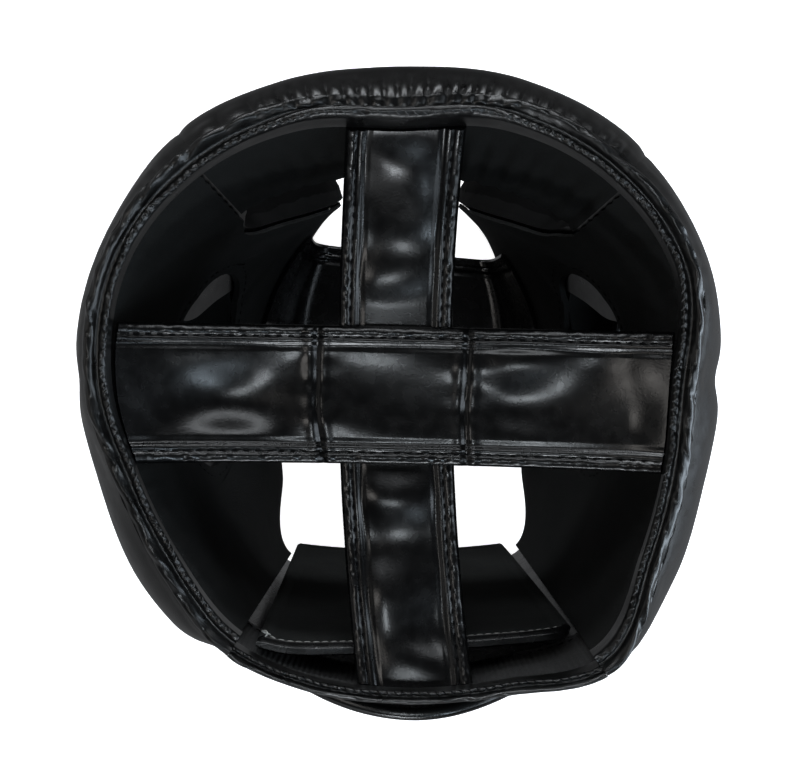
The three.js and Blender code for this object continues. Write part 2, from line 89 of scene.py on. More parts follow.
# Angles of the seams beside the forehead and of the side pads' back ends, with the gaps between the pieces,
# how far the linings lap past the pads, and how far a seam strays as it goes up
SEAM_LEFT = 41.4
SEAM_RIGHT = -47.0
BACK_LEFT = 146.0
BACK_RIGHT = -143.0
SEAM_GAP = 0.012
LINING_SEAM_GAP = 0.75
BACK_CLEARANCE = 0.3
LINING_LAP = 1.5
LAP_LEFT = BACK_LEFT + LINING_LAP
LAP_RIGHT = BACK_RIGHT - LINING_LAP
LAP_GAP = 0.02
BACK_SPAN = (BACK_LEFT + BACK_CLEARANCE, 360 + BACK_RIGHT - BACK_CLEARANCE)
SEAM_WANDER = 0.2
SEAM_WANDER_LENGTH = 9.0

# Radii that turn angles into runs along the pads, the linings and the band, for patterns that follow them
RIM_ARC = 95.0
SIDE_ARC = 100.0
FOREHEAD_LINING_ARC = 85.0
SIDE_LINING_ARC = 90.0
BAND_ARC = 102.0

# The forehead's lower edge, the face opening's edge up to the seams, and the hem
BROW_MIDDLE = 138.0
BROW_DROP = 6.0
FACE_TO_SEAM = (106.0, 126.0)
FACE_TOP = 136.0
FACE_HEIGHTS = (0, 10, 28, 48, 66, 82, 98, 116, 134)
FACE_AROUND = (24, 19, 17, 18.5, 23, 32, 42, 45, 44)
HEM_AROUND = (0, 60, 78, 100, 125, 150)
HEM_HEIGHTS = (0, 0, 3, 12, 14, 9)

# Rounded edges of the pads, the ear opening with its inner cup, the tuck above it, and the edges' seams
SHOULDER_POWER = 2.6
ROUND_BROW = 15.0
ROUND_FACE = 13.0
ROUND_HEM = 16.0
ROUND_BACK = 16.0
HEM_FOOT = 7.0
SEAM_GROOVE_DEPTH = 0.05
SEAM_GROOVE_WIDTH = 4.0
SEAM_GROOVE_RANGE = (122.0, 138.0)
EAR_AHEAD = 6.0
EAR_HEIGHT = 88.0
EAR_SIZE = (27.0, 22.0)
EAR_CUP_SIZE = (39.0, 31.0)
EAR_FLOOR = 90.0
EAR_BLOCK = 0.8
EAR_EASE = 1.7
EAR_STITCH = 6.0
EAR_LINING_STITCH = 3.0
EAR_LIP = 18.0
EAR_LIP_DEPTH = 0.14
TUCK_AROUND = 89.0
TUCK_WIDTH = 4.0
TUCK_DEPTH = 0.16
TUCK_RANGE = (110.0, 148.0)
TRIM_WIDTH = 6.5
TRIM_SEAM = 7.0
FACE_STITCH = 6.0
BROW_STITCH = 6.0

# The rim binding in section: out from the lining's inner face, and up from the rim. At the sides a stitched
# bead lies inside a rolled ridge. In the middle of the forehead it is one smooth roll. The back's is
# smaller, by shares of its overlap, cover, top and leg.
SIDE_SECTION = (
    (-2.3, -6.8), (-2.6, -4.4), (-2.8, -2.2), (-3.0, -0.4), (-3.05, 0.7), (-2.6, 1.7), (-1.8, 2.0),
    (-1.0, 1.6), (-0.5, 0.9), (0.1, 0.75), (0.7, 1.1), (1.3, 2.2), (2.2, 3.1), (3.2, 3.0), (4.1, 2.2),
    (4.7, 1.2), (4.5, 0.5), (2.5, 0.45), (0.4, 0.45), (-0.45, 0.4), (-0.45, -3.0), (-0.5, -6.8),
)
FRONT_SECTION = (
    (-2.3, -6.8), (-2.5, -4.4), (-2.6, -2.2), (-2.7, -0.4), (-2.7, 1.0), (-2.2, 2.3), (-1.2, 3.0),
    (-0.2, 2.9), (0.5, 2.2), (0.9, 1.1), (1.2, 0.7), (1.7, 0.7), (2.5, 0.75), (3.4, 0.8), (4.2, 0.8),
    (4.75, 0.7), (4.5, 0.5), (2.5, 0.45), (0.4, 0.45), (-0.45, 0.4), (-0.45, -3.0), (-0.5, -6.8),
)
BEAD_TOP = 6
RIM_STITCH = {"pitch": 2.9, "length": 2.3, "radius": 0.22, "slant": 0.75}
FRONT_REACH = (12.0, 30.0)
FULL_RIM = (1.0, 1.0, 1.0, 1.0)
BAND_RIM = (0.54, 0.54, 0.8, 0.86)

# Straps: the hem on each long edge as rises over the flat middle, by distance from the edge
HEM_DISTANCE = (0.0, 1.0, 2.2, 3.3, 4.0, 4.7, 5.7, 6.4, 7.1, 9.0)
HEM_RISE = (0.0, 0.55, 0.95, 0.7, 0.2, 0.65, 0.6, 0.1, -0.3, 0.0)
HEM_STITCH = 4.0
SAG_POWER = 3.4

# Crown straps: width, depth of their ends below the rim, drift aside at the start, the middle and the end,
# and height of the middle. The long one reaches further at the back, where there is no lining.
LONG_WIDTH = 39.0
LONG_BELOW_RIM = (7.6, 8.6)
LONG_DRIFT = (-2, 1.5, -5)
LONG_HEIGHT = 170.5
LONG_FURTHER = 4.0
CROSS_WIDTH = 47.0
CROSS_BELOW_RIM = 10.0
CROSS_DRIFT = (2.5, 3.5, 6)
CROSS_HEIGHT = 174.5
CROSS_SEAMS = (28.6, -22.2)
CROWN_STEPS = 280

# Back closure: the band, the flap with its arched top and bowed middle, and the tab, which leans back
# towards its left end and has one rounded corner
BAND_DEPTH = 36.0
FLAP_TOP = 181.0
FLAP_ARCH = 30.0
FLAP_RUN = 125.0
FLAP_BOW_MIDDLE = 183.0
FLAP_BOW_HALF = 24.0
FLAP_BOW_DEPTH = 3.6
TAB_TOP = {"height": 169.0, "back": 86.6, "left": 48.5, "right": -60.0}
TAB_FOOT = {"height": 16.0, "back": 74.0, "left": 47.0, "right": -47.0}
TAB_LENGTH = 152.0
TAB_CORNER = 9.0
TAB_TILT = (10.0, 2.0, -4.0)
TAB_BOW = 3.0
TAB_LEAN_ACROSS = (0.0, 0.1, 0.3, 0.6, 1.0)
TAB_LEAN = (0.6, 2.2, 1.4, 0.2, 0.0)
TAB_STITCH = 5.0
TAB_STRIP = 4.2

# Chin strap: its edges, the height where it leaves the cheek, how high its middle lies, and its run
CHIN_FRONT = -62.0
CHIN_BACK = -15.0
CHIN_TOP = 36.0
CHIN_FLOOR = 1.6
CHIN_LOWEST = 1.55
CHIN_OVERLAP = 26.0
CHIN_HALF_RUN = 50.0
CHIN_SKEW = 4.0

# A stitch: its size, and its rings by share of the length, height and girth
STITCH_PITCH = 4.0
STITCH_LENGTH = 2.5
STITCH_RADIUS = 0.26
STITCH_SIDES = 6
STITCH_RINGS = (
    (-0.5, -1.1, 0.4),
    (-0.4, -0.1, 0.85),
    (-0.18, 0.45, 1.0),
    (0.18, 0.45, 1.0),
    (0.4, -0.1, 0.85),
    (0.5, -1.1, 0.4),
)
HALF_CAPS = np.array([[0, 1, 2, 3], [0, 3, 4, 5]])

# Cloth simulation of the pads: the share of the padding that the sheet starts from, and its settings
START_SHARE = 0.9
CLOTH_FRAMES = 20
CLOTH_SETTINGS = {
    "quality": 6,
    "mass": 0.25,
    "tension_stiffness": 18,
    "compression_stiffness": 18,
    "shear_stiffness": 8,
    "bending_stiffness": 5,
    "use_pressure": True,
    "uniform_pressure_force": 4.0,
    "shrink_min": -0.008,
}
SWELL_LIMIT = 4.5

# Edges sharper than this many degrees are shaded as edges
SHARP_ANGLE = 48

# Area lights: name, place, target and size in metres, watts and colour. Then the strength of the room's
# light and of the glow that comes up from the table.
LIGHTS = (
    ("key", (0.04, 0.35, 1.26), (0, 0, 0.15), (0.18, 0.14), 1.75, (0.88, 0.95, 1.0)),
    ("cool_top", (-0.42, 0.75, 1.05), (0, 0.0, 0.17), (0.16, 0.12), 1.7, (0.74, 0.88, 1.0)),
    ("cool_side", (-0.85, 0.35, 0.75), (0, 0.02, 0.15), (0.7, 0.35), 3.4, (0.80, 0.90, 1.0)),
    ("cool_low", (-0.6, 0.14, 0.17), (0, 0.02, 0.15), (0.7, 0.3), 4.4, (0.76, 0.88, 1.0)),
    ("front", (0.0, -0.75, 1.0), (0, 0, 0.15), (0.9, 0.25), 3.1, (0.92, 0.96, 1.0)),
    ("front_low", (0.0, -0.85, 0.4), (0, 0, 0.19), (1.2, 0.09), 5.6, (0.92, 0.96, 1.0)),
    ("left", (0.62, 0.05, 1.2), (0, 0, 0.12), (0.3, 0.3), 1.0, (1.0, 0.96, 0.92)),
    ("side_soft", (1.5, -0.1, 0.55), (0, 0, 0.1), (1.4, 0.9), 1.6, (1.0, 0.98, 0.96)),
    ("front_soft", (0.8, -1.2, 0.45), (0, 0, 0.1), (1.0, 0.7), 1.2, (0.96, 0.98, 1.0)),
    ("back_soft", (0.5, 1.5, 0.5), (0, 0, 0.1), (1.4, 0.9), 2.2, (0.96, 0.98, 1.0)),
    ("back", (0.1, 1.1, 0.46), (0, 0, 0.17), (0.3, 0.1), 3.0, (0.90, 0.95, 1.0)),
)
ROOM_LIGHT = 0.03
GLOW = 0.19
GLOW_IN_FRONT = 0.02

# The photograph's camera
CAMERA_HEIGHT = 634.0
CAMERA_LENS = 60.75
CAMERA_SENSOR = 36.0


# Curves and noise


def curve(keys, values, at):
    """A smooth curve through values at rising keys, held level beyond both ends."""
    keys = np.asarray(keys, float)
    values = np.asarray(values, float)
    at = np.clip(np.asarray(at, float), keys[0], keys[-1])
    i = np.clip(np.searchsorted(keys, at, side="right") - 1, 0, len(keys) - 2)
    before = np.maximum(i - 1, 0)
    after = np.minimum(i + 2, len(keys) - 1)

    def wide(x):
        return x.reshape(x.shape + (1,) * (values.ndim - 1))

    span = wide(keys[i + 1] - keys[i])
    leave = (values[i + 1] - values[before]) / wide(keys[i + 1] - keys[before]) * span
    arrive = (values[after] - values[i]) / wide(keys[after] - keys[i]) * span
    t = wide(at - keys[i]) / span
    blend = t * t * (3 - 2 * t)
    bend = t * (1 - t) * ((1 - t) * leave - t * arrive)
    return values[i] + (values[i + 1] - values[i]) * blend + bend


def smoothstep(x, low, high):
    """0 below low, 1 above high, and a smooth rise between them."""
    t = np.clip((np.asarray(x, float) - low) / (high - low), 0, 1)
    return t * t * (3 - 2 * t)


def lerp(a, b, t):
    """The value at a share t of the way from a to b."""
    return a + (b - a) * t


def swell(distance, width):
    """Swell from an edge: 0 at the edge, 1 at the width and beyond."""
    return 1 - (1 - np.clip(distance / width, 0, 1)) ** SHOULDER_POWER


def quarter_round(distance, width):
    """A quarter of a circle's rise: 0 at an edge, 1 at the width and beyond."""
    short = 1 - np.clip(distance / width, 0, 1)
    return np.sqrt(1 - short * short)


def bell(x, at, width):
    """A bell curve: 1 at a place, and close to 0 beyond twice the width."""
    return np.exp(-(((x - at) / width) ** 2))


def closest(values, to):
    """Index of the value that is closest to a given one."""
    return int(np.argmin(np.abs(values - to)))


def towards_edges(count):
    """Shares from 0 to 1, closer together towards both ends."""
    return 0.5 - 0.5 * np.cos(np.pi * np.linspace(0, 1, count + 1))


def noise(points, size, seed):
    """Smooth noise from -1 to 1 over points of any dimension, with features of about the given size."""
    points = np.asarray(points, float) / size + 17.31 * seed
    cell = np.floor(points).astype(np.int64)
    share = points - cell
    share = share * share * (3 - 2 * share)
    dimensions = points.shape[-1]
    primes = (73856093, 19349663, 83492791)
    total = np.zeros(points.shape[:-1])
    for corner in range(2**dimensions):
        bits = np.array([(corner >> d) & 1 for d in range(dimensions)])
        mixed = np.full(points.shape[:-1], 2654435 * (seed + 1), np.int64)
        for d in range(dimensions):
            mixed ^= (cell[..., d] + bits[d]) * primes[d]
        mixed = (mixed ^ (mixed >> 13)) * 1274126177 & 0xFFFFFFFF
        mixed = (mixed ^ (mixed >> 16)) & 0xFFFF
        weight = np.prod(np.where(bits, share, 1 - share), axis=-1)
        total += weight * (mixed / 32767.5 - 1)
    return total


def ripples(points, size, seed):
    """Soft waves from about -1 to 1 that run in many directions, with lengths near the given size."""
    points = np.asarray(points, float)
    random = np.random.default_rng(seed)
    count = 14
    total = np.zeros(points.shape[:-1])
    for _ in range(count):
        direction = random.normal(size=points.shape[-1])
        direction /= np.linalg.norm(direction)
        length = size * random.uniform(0.75, 1.5)
        total += np.cos(2 * np.pi * (points @ direction) / length + random.uniform(0, 2 * np.pi))
    return total * 0.19


# The shell


def plan(around, column):
    """A column of the plan at any angles, smooth all the way round."""
    rows = np.array(PLAN_ROWS, float)
    at = rows[:, PLAN_COLUMNS.index("around")]
    values = rows[:, PLAN_COLUMNS.index(column)]
    keys = np.concatenate([at[-3:] - 360, at, at[:3] + 360])
    repeated = np.concatenate([values[-3:], values, values[:3]])
    return curve(keys, repeated, (np.asarray(around, float) - at[0]) % 360 + at[0])


def rim_height(around):
    """Height of the crown rim."""
    return plan(around, "rim_height")


def hem_height(around):
    """Height of the lower edge of the side pads."""
    return np.maximum(curve(HEM_AROUND, HEM_HEIGHTS, np.abs(around)), 0)


def brow_height(around):
    """Height of the forehead's lower edge."""
    return BROW_MIDDLE - BROW_DROP * (np.asarray(around, float) / SEAM_LEFT) ** 2


def wall_radius(around, height):
    """Radius of the lining's inner face: a parabola through the rim, brow and hem radii."""
    rim, brow, hem = (plan(around, name) for name in ("rim_radius", "brow_radius", "hem_radius"))
    top = rim_height(around)
    upper = (rim - brow) / (top - BROW_LEVEL)
    lower = (brow - hem) / (BROW_LEVEL - HEM_LEVEL)
    bend = (upper - lower) / (top - HEM_LEVEL)
    return brow + upper * (height - BROW_LEVEL) + bend * (height - BROW_LEVEL) * (height - top)


def shell(around, height, out):
    """Points of the shell, `out` beyond the lining's inner face."""
    radius = wall_radius(around, height) + out
    angle = np.radians(around)
    return np.stack([radius * np.sin(angle), -radius * np.cos(angle), height + 0 * radius], -1)


def arc(around, radius):
    """Run along a circle of the given radius."""
    return np.radians(around) * radius


def face_edge(height, seam):
    """The face edge of a side pad: the forehead seam above the brow, the face opening below it."""
    opening = curve(FACE_HEIGHTS, FACE_AROUND, height)
    return np.sign(seam) * lerp(opening, abs(seam), smoothstep(height, *FACE_TO_SEAM))


# Grids, bodies and meshes


def normals(grid):
    """Unit normals of a grid of points, by its rows and columns."""
    across = np.gradient(grid, axis=1)
    down = np.gradient(grid, axis=0)
    found = np.cross(across, down)
    return found / np.maximum(np.linalg.norm(found, axis=-1, keepdims=True), 1e-9)


def grid_faces(rows, columns, start=0, flip=False, hole=None):
    """Quads of a grid; hole = (first row, last row, first column, last column) of the cells left out."""
    i, j = np.meshgrid(np.arange(rows - 1), np.arange(columns - 1), indexing="ij")
    keep = np.ones(i.shape, bool)
    if hole:
        keep[hole[0] : hole[1], hole[2] : hole[3]] = False
    corner = (start + i * columns + j)[keep]
    quads = np.stack([corner, corner + columns, corner + columns + 1, corner + 1], -1)
    return quads[:, ::-1] if flip else quads


def edge_loop(first_row, last_row, first_column, last_column, columns):
    """Grid indices round a block of cells, once round."""
    top = [(first_row, j) for j in range(first_column, last_column)]
    right = [(i, last_column) for i in range(first_row, last_row)]
    bottom = [(last_row, j) for j in range(last_column, first_column, -1)]
    left = [(i, first_column) for i in range(last_row, first_row, -1)]
    return np.array([i * columns + j for i, j in top + right + bottom + left])


def ring_faces(first, second):
    """Quads between two loops of indices of equal length."""
    return np.stack([first, np.roll(first, -1), np.roll(second, -1), second], -1)


def tube(count, sides):
    """Quads between rings of points that follow each other, with the indices of the two end rings."""
    loops = [k * sides + np.arange(sides) for k in range(count)]
    walls = [ring_faces(first, second) for first, second in zip(loops, loops[1:])]
    return np.concatenate(walls), loops[0], loops[-1]


def body_between(inner, outer, hole=None):
    """Points and quads of a closed body between two grids that share their rows and columns."""
    rows, columns = inner.shape[:2]
    count = rows * columns
    points = np.concatenate([inner.reshape(-1, 3), outer.reshape(-1, 3)])
    rim = edge_loop(0, rows - 1, 0, columns - 1, columns)
    faces = [
        grid_faces(rows, columns, 0, True, hole),
        grid_faces(rows, columns, count, False, hole),
        ring_faces(rim + count, rim),
    ]
    if hole:
        loop = edge_loop(*hole, columns)
        faces.append(ring_faces(loop, loop + count))
    return points, np.concatenate(faces)


def facing_out(points, faces):
    """The quads turned so that the body's volume is positive."""
    a, b, c, d = (points[faces[:, k]] for k in range(4))
    volume = np.einsum("ij,ij->", a, np.cross(b, c)) + np.einsum("ij,ij->", a, np.cross(c, d))
    return faces if volume > 0 else faces[:, ::-1]


class Build:
    """Collects the points, faces and materials of one piece, and makes it a mesh object."""

    def __init__(self, name, *materials):
        self.name = name
        self.materials = materials
        self.points = []
        self.faces = []
        self.kinds = []
        self.count = 0

    def add(self, points, faces, kind=0):
        """Adds a part; kind is one material index for all its faces, or one for each."""
        points = np.asarray(points, float).reshape(-1, 3)
        faces = np.asarray(faces)
        self.points.append(points)
        self.faces.extend((faces + self.count).tolist())
        self.kinds.extend(np.broadcast_to(kind, len(faces)).tolist())
        self.count += len(points)

    def add_body(self, inner, outer, hole=None):
        """Adds the closed body between two grids."""
        points, faces = body_between(inner, outer, hole)
        self.add(points, facing_out(points, faces))

    def finish(self, node):
        """The mesh object, which rides on the guard's body in place of a CAD node."""
        points = (np.concatenate(self.points) + AXIS) * MM
        mesh = bpy.data.meshes.new(self.name)
        mesh.from_pydata(points.tolist(), [], self.faces)
        for material in self.materials:
            mesh.materials.append(material)
        mesh.polygons.foreach_set("material_index", np.array(self.kinds, np.int32))
        mesh.polygons.foreach_set("use_smooth", np.ones(len(self.faces), bool))
        mesh.update()
        mesh.set_sharp_from_angle(angle=math.radians(SHARP_ANGLE))
        piece = bpy.data.objects.new(self.name, mesh)
        bpy.context.scene.collection.objects.link(piece)
        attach(piece, "root")
        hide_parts(node)
        return piece


# Stitches


def spaced(line, pitch):
    """Points at an even pitch along a polyline, with the direction at each."""
    line = np.asarray(line, float)
    steps = np.linalg.norm(np.diff(line, axis=0), axis=1)
    run = np.concatenate([[0], np.cumsum(steps)])
    at = np.arange(pitch / 2, run[-1] - pitch / 4, pitch)
    places = np.stack([np.interp(at, run, line[:, k]) for k in range(3)], -1)
    ahead = np.stack([np.interp(at + pitch / 5, run, line[:, k]) for k in range(3)], -1)
    behind = np.stack([np.interp(at - pitch / 5, run, line[:, k]) for k in range(3)], -1)
    direction = ahead - behind
    direction /= np.maximum(np.linalg.norm(direction, axis=1, keepdims=True), 1e-9)
    return places, direction


def add_stitches(
    build, line, up, kind, seed, pitch=STITCH_PITCH, length=STITCH_LENGTH, radius=STITCH_RADIUS, slant=0.0
):
    """Short rounded threads along a line on a surface; up gives the surface's normals along the line."""
    places, direction = spaced(line, pitch)
    if not len(places):
        return
    line = np.asarray(line, float)
    nearest = np.argmin(np.linalg.norm(line[None] - places[:, None], axis=2), axis=1)
    lift = np.asarray(up, float)[nearest]
    lift = lift - direction * np.sum(lift * direction, axis=1, keepdims=True)
    lift /= np.maximum(np.linalg.norm(lift, axis=1, keepdims=True), 1e-9)
    aside = np.cross(direction, lift)
    turned = slant + 0.1 * noise(places, 6, seed)[:, None]
    direction = direction * np.cos(turned) + aside * np.sin(turned)
    aside = np.cross(direction, lift)
    angles = 2 * np.pi * np.arange(STITCH_SIDES) / STITCH_SIDES
    walls, _, last = tube(len(STITCH_RINGS), STITCH_SIDES)
    faces = np.concatenate([walls, HALF_CAPS, HALF_CAPS[:, ::-1] + last[0]])
    for place, run, rise, side in zip(places, direction, lift, aside):
        points = [
            place + run * share * length + rise * height * radius
            + girth * radius * (math.cos(a) * rise + math.sin(a) * side)
            for share, height, girth in STITCH_RINGS
            for a in angles
        ]
        build.add(points, faces, kind)


# Materials


class Nodes:
    """Adds shader nodes to one material, or to a world, and links them."""

    def __init__(self, name, world=None):
        self.material = world or bpy.data.materials.new(name)
        self.material.use_nodes = True
        self.tree = self.material.node_tree
        self.shader = self.tree.nodes["Background" if world else "Principled BSDF"]

    def put(self, value, socket):
        """Sets an input to a value, or links another node's output to it."""
        if isinstance(value, bpy.types.NodeSocket):
            self.tree.links.new(value, socket)
        else:
            socket.default_value = value

    def fill(self, node, values):
        """Sets a node's inputs by their names."""
        for key, value in values.items():
            self.put(value, node.inputs[key.replace("_", " ")])

    def add(self, kind, settings=(), **values):
        """A new node with its settings and its inputs."""
        made = self.tree.nodes.new(kind)
        for key, value in dict(settings).items():
            setattr(made, key, value)
        self.fill(made, values)
        return made

    def shade(self, **values):
        """Sets the shader's own sockets."""
        self.fill(self.shader, values)

    def places(self, kind="Object"):
        """The coordinates that patterns are laid out on."""
        return self.add("ShaderNodeTexCoord").outputs[kind]

    def speckle(self, place, scale, detail, roughness=0.5):
        """Noise over the places, from 0 to 1."""
        made = self.add("ShaderNodeTexNoise", Vector=place, Scale=scale, Detail=detail, Roughness=roughness)
        return made.outputs["Fac"]

    def bump(self, height, strength, distance, **below):
        """Normals bent by a height, over the bump below if one is given."""
        made = self.add("ShaderNodeBump", Height=height, Strength=strength, Distance=distance, **below)
        return made.outputs["Normal"]

    def ramp(self, source, *stops):
        """A colour ramp with a stop for each place and colour."""
        made = self.add("ShaderNodeValToRGB", Fac=source)
        for element, (place, colour) in zip(made.color_ramp.elements, stops):
            element.position = place
            element.color = (*colour, 1)
        return made.outputs["Color"]

    def levels(self, source, low, high, to_low, to_high):
        """The source with the range from low to high drawn to another range."""
        limits = {"From_Min": low, "From_Max": high, "To_Min": to_low, "To_Max": to_high}
        return self.add("ShaderNodeMapRange", Value=source, **limits).outputs["Result"]

    def multiply_add(self, source, factor, term):
        """The source times the factor, plus the term."""
        made = self.add("ShaderNodeMath", {"operation": "MULTIPLY_ADD"})
        for socket, value in zip(made.inputs, (source, factor, term)):
            self.put(value, socket)
        return made.outputs[0]


def leather(name, dark, light, gloss, grain=1700.0, shine=0.5):
    """Black grained leather: fine pebbles, soft creases, patches of colour and paler worn edges."""
    nodes = Nodes(name)
    place = nodes.places()
    pebbles = nodes.speckle(place, grain, 1.0)
    creases = nodes.speckle(place, 210.0, 3.0)
    patches = nodes.speckle(place, 38.0, 3.0)
    pointed = nodes.add("ShaderNodeNewGeometry").outputs["Pointiness"]
    worn = nodes.add("ShaderNodeMix", {"data_type": "RGBA"})
    factor, base, pale = worn.inputs[0], worn.inputs[6], worn.inputs[7]
    nodes.put(nodes.levels(pointed, 0.53, 0.62, 0.0, 0.7), factor)
    nodes.put(nodes.ramp(patches, (0.3, dark), (0.7, light)), base)
    nodes.put((light[0] * 3.4, light[1] * 3.4, light[2] * 3.4, 1), pale)
    fine = nodes.bump(pebbles, 0.22, 0.00016)
    nodes.shade(
        Base_Color=worn.outputs[2],
        Roughness=nodes.levels(creases, 0.3, 0.7, gloss - 0.03, gloss + 0.05),
        Normal=nodes.bump(creases, 0.03, 0.0004, Normal=fine),
        Specular_IOR_Level=shine,
    )
    return nodes.material


def cloth(name, dark, light, sheen):
    """Matte brushed lining: short fuzz, a fine knit under it and faint rubbed patches."""
    nodes = Nodes(name)
    place = nodes.places()
    fuzz = nodes.speckle(place, 1900.0, 4.0, 0.7)
    knit = nodes.add("ShaderNodeTexVoronoi", {"feature": "F1"}, Vector=place, Scale=1300.0)
    patches = nodes.speckle(place, 52.0, 5.0, 0.65)
    rubbed = nodes.multiply_add(fuzz, 0.45, patches)
    weave = nodes.bump(knit.outputs["Distance"], 0.35, 0.0003)
    nodes.shade(
        Base_Color=nodes.ramp(rubbed, (0.55, dark), (0.9, light)),
        Roughness=nodes.levels(fuzz, 0.3, 0.7, 0.86, 1.0),
        Normal=nodes.bump(fuzz, 0.5, 0.0004, Normal=weave),
        Specular_IOR_Level=0.25,
        Sheen_Weight=sheen,
        Sheen_Roughness=0.6,
    )
    return nodes.material


def thread(name, dark, light, shine=0.3):
    """Twisted sewing thread."""
    nodes = Nodes(name)
    place = nodes.places()
    diagonal = {"bands_direction": "DIAGONAL"}
    wave = nodes.add("ShaderNodeTexWave", diagonal, Vector=place, Scale=900.0, Distortion=1.5)
    twist = wave.outputs["Fac"]
    soil = nodes.speckle(place, 90.0, 3.0)
    nodes.shade(
        Base_Color=nodes.ramp(soil, (0.3, dark), (0.7, light)),
        Roughness=nodes.levels(twist, 0.0, 1.0, 0.55, 0.75),
        Normal=nodes.bump(twist, 0.5, 0.00015),
        Specular_IOR_Level=shine,
    )
    return nodes.material


def webbing(name, dark, light):
    """Ribbed band cloth."""
    nodes = Nodes(name)
    place = nodes.places()
    fibre = nodes.speckle(place, 1400.0, 3.0)
    patches = nodes.speckle(place, 70.0, 3.0)
    nodes.shade(
        Base_Color=nodes.ramp(patches, (0.3, dark), (0.7, light)),
        Roughness=nodes.levels(fibre, 0.3, 0.7, 0.55, 0.75),
        Normal=nodes.bump(fibre, 0.4, 0.0003),
        Sheen_Weight=0.08,
    )
    return nodes.material


PAD_LEATHER = leather("pad_leather", (0.0012, 0.0011, 0.0011), (0.0024, 0.0022, 0.0021), 0.30)
TRIM_LEATHER = leather("trim_leather", (0.0010,) * 3, (0.0022,) * 3, 0.62, shine=0.03)
STRAP_LEATHER = leather("strap_leather", (0.0010, 0.0010, 0.0011), (0.0022, 0.0022, 0.0024), 0.25, 1500.0)
BINDING_LEATHER = leather("binding_leather", (0.0014,) * 3, (0.0030,) * 3, 0.30, 1800.0)
LINING_CLOTH = cloth("lining_cloth", (0.0016, 0.0019, 0.0018), (0.0046, 0.0052, 0.0050), 0.005)
TAB_CLOTH = cloth("tab_cloth", (0.0050, 0.0056, 0.0052), (0.0125, 0.0136, 0.0128), 0.01)
BAND_CLOTH = webbing("band_webbing", (0.0060, 0.0060, 0.0062), (0.0140, 0.0140, 0.0140))
DARK_THREAD = thread("dark_thread", (0.0016, 0.0016, 0.0018), (0.0040, 0.0040, 0.0044), 0.08)
GREY_THREAD = thread("grey_thread", (0.012,) * 3, (0.075,) * 3)
PALE_THREAD = thread("pale_thread", (0.22, 0.22, 0.21), (0.42, 0.42, 0.40))


# Padding


def swollen(inner, outer):
    """How far each outer point moves when the outer sheet is cloth under pressure, sewn along its edges."""
    rows, columns = outer.shape[:2]
    count = rows * columns
    points, faces = body_between(inner, outer)
    mesh = bpy.data.meshes.new("swelling")
    mesh.from_pydata((points * MM).tolist(), [], facing_out(points, faces).tolist())
    piece = bpy.data.objects.new("swelling", mesh)
    bpy.context.scene.collection.objects.link(piece)
    held = piece.vertex_groups.new(name="held")
    sewn = edge_loop(0, rows - 1, 0, columns - 1, columns) + count
    held.add(np.concatenate([np.arange(count), sewn]).tolist(), 1.0, "REPLACE")
    modifier = piece.modifiers.new("cloth", "CLOTH")
    settings = modifier.settings
    settings.vertex_group_mass = "held"
    for key, value in CLOTH_SETTINGS.items():
        setattr(settings, key, value)
    settings.effector_weights.gravity = 0
    modifier.point_cache.frame_start = 1
    modifier.point_cache.frame_end = CLOTH_FRAMES
    for step in range(1, CLOTH_FRAMES + 1):
        bpy.context.scene.frame_set(step)
    settled = piece.evaluated_get(bpy.context.evaluated_depsgraph_get()).data
    places = np.zeros(len(points) * 3)
    settled.vertices.foreach_get("co", places)
    moved = places.reshape(-1, 3)[count:] / MM - points[count:]
    far = np.linalg.norm(moved, axis=1, keepdims=True)
    moved *= np.minimum(1, SWELL_LIMIT / np.maximum(far, 1e-9))
    moved = moved.reshape(rows, columns, 3)
    for _ in range(2):
        moved[1:-1] = (moved[:-2] + 2 * moved[1:-1] + moved[2:]) / 4
        moved[:, 1:-1] = (moved[:, :-2] + 2 * moved[:, 1:-1] + moved[:, 2:]) / 4
    bpy.data.objects.remove(piece)
    bpy.data.meshes.remove(mesh)
    bpy.context.scene.frame_set(1)
    return moved


def spread(field, from_rows, from_columns, rows, columns):
    """A field on a coarse grid, carried smoothly to a fine one."""
    by_rows = curve(from_rows, field, rows)
    return curve(from_columns, by_rows.swapaxes(0, 1), columns).swapaxes(0, 1)


def padded_outer(place, thickness, coarse, fine, loose):
    """The outer sheet of a pad on its fine grid: the swollen shape of a coarse cloth carried over to it.

    place(rows, columns) gives angles and heights, thickness(around, height) the padding there, and
    loose(around, height) how free the sheet is to swell, from 0 along a sewn edge to 1.
    """
    around, height = place(*fine)
    outer = shell(around, height, PAD_INNER + thickness(around, height))
    coarse_around, coarse_height = place(*coarse)
    full = thickness(coarse_around, coarse_height)
    start = PAD_EDGE + START_SHARE * (full - PAD_EDGE)
    inner = shell(coarse_around, coarse_height, PAD_INNER + 0 * full)
    begun = shell(coarse_around, coarse_height, PAD_INNER + start)
    moved = swollen(inner, begun) + begun - shell(coarse_around, coarse_height, PAD_INNER + full)
    return outer + spread(moved, *coarse, *fine) * loose(around, height)[..., None]


def soft_dents(points, amount, seed):
    """Slow dents of a padded leather face."""
    return amount * (noise(points, 46, seed) + 0.25 * noise(points, 22, seed + 1))


def edge_seam(distance, at=5.0, depth=0.8, width=1.1):
    """The dip of a stitched line at a distance from an edge."""
    return -depth * bell(distance, at, width)


def gather_wave(run, pitch, seed):
    """Uneven puffs along a gathered edge: 1 on a puff, 0 in the fold between two."""
    spot = np.stack([run, 0 * run], -1)
    phase = run / pitch + 0.5 * noise(spot, 12, seed)
    strength = 0.8 + 0.35 * noise(spot, 19, seed + 1)
    return strength * np.abs(np.sin(np.pi * phase)) ** 0.9


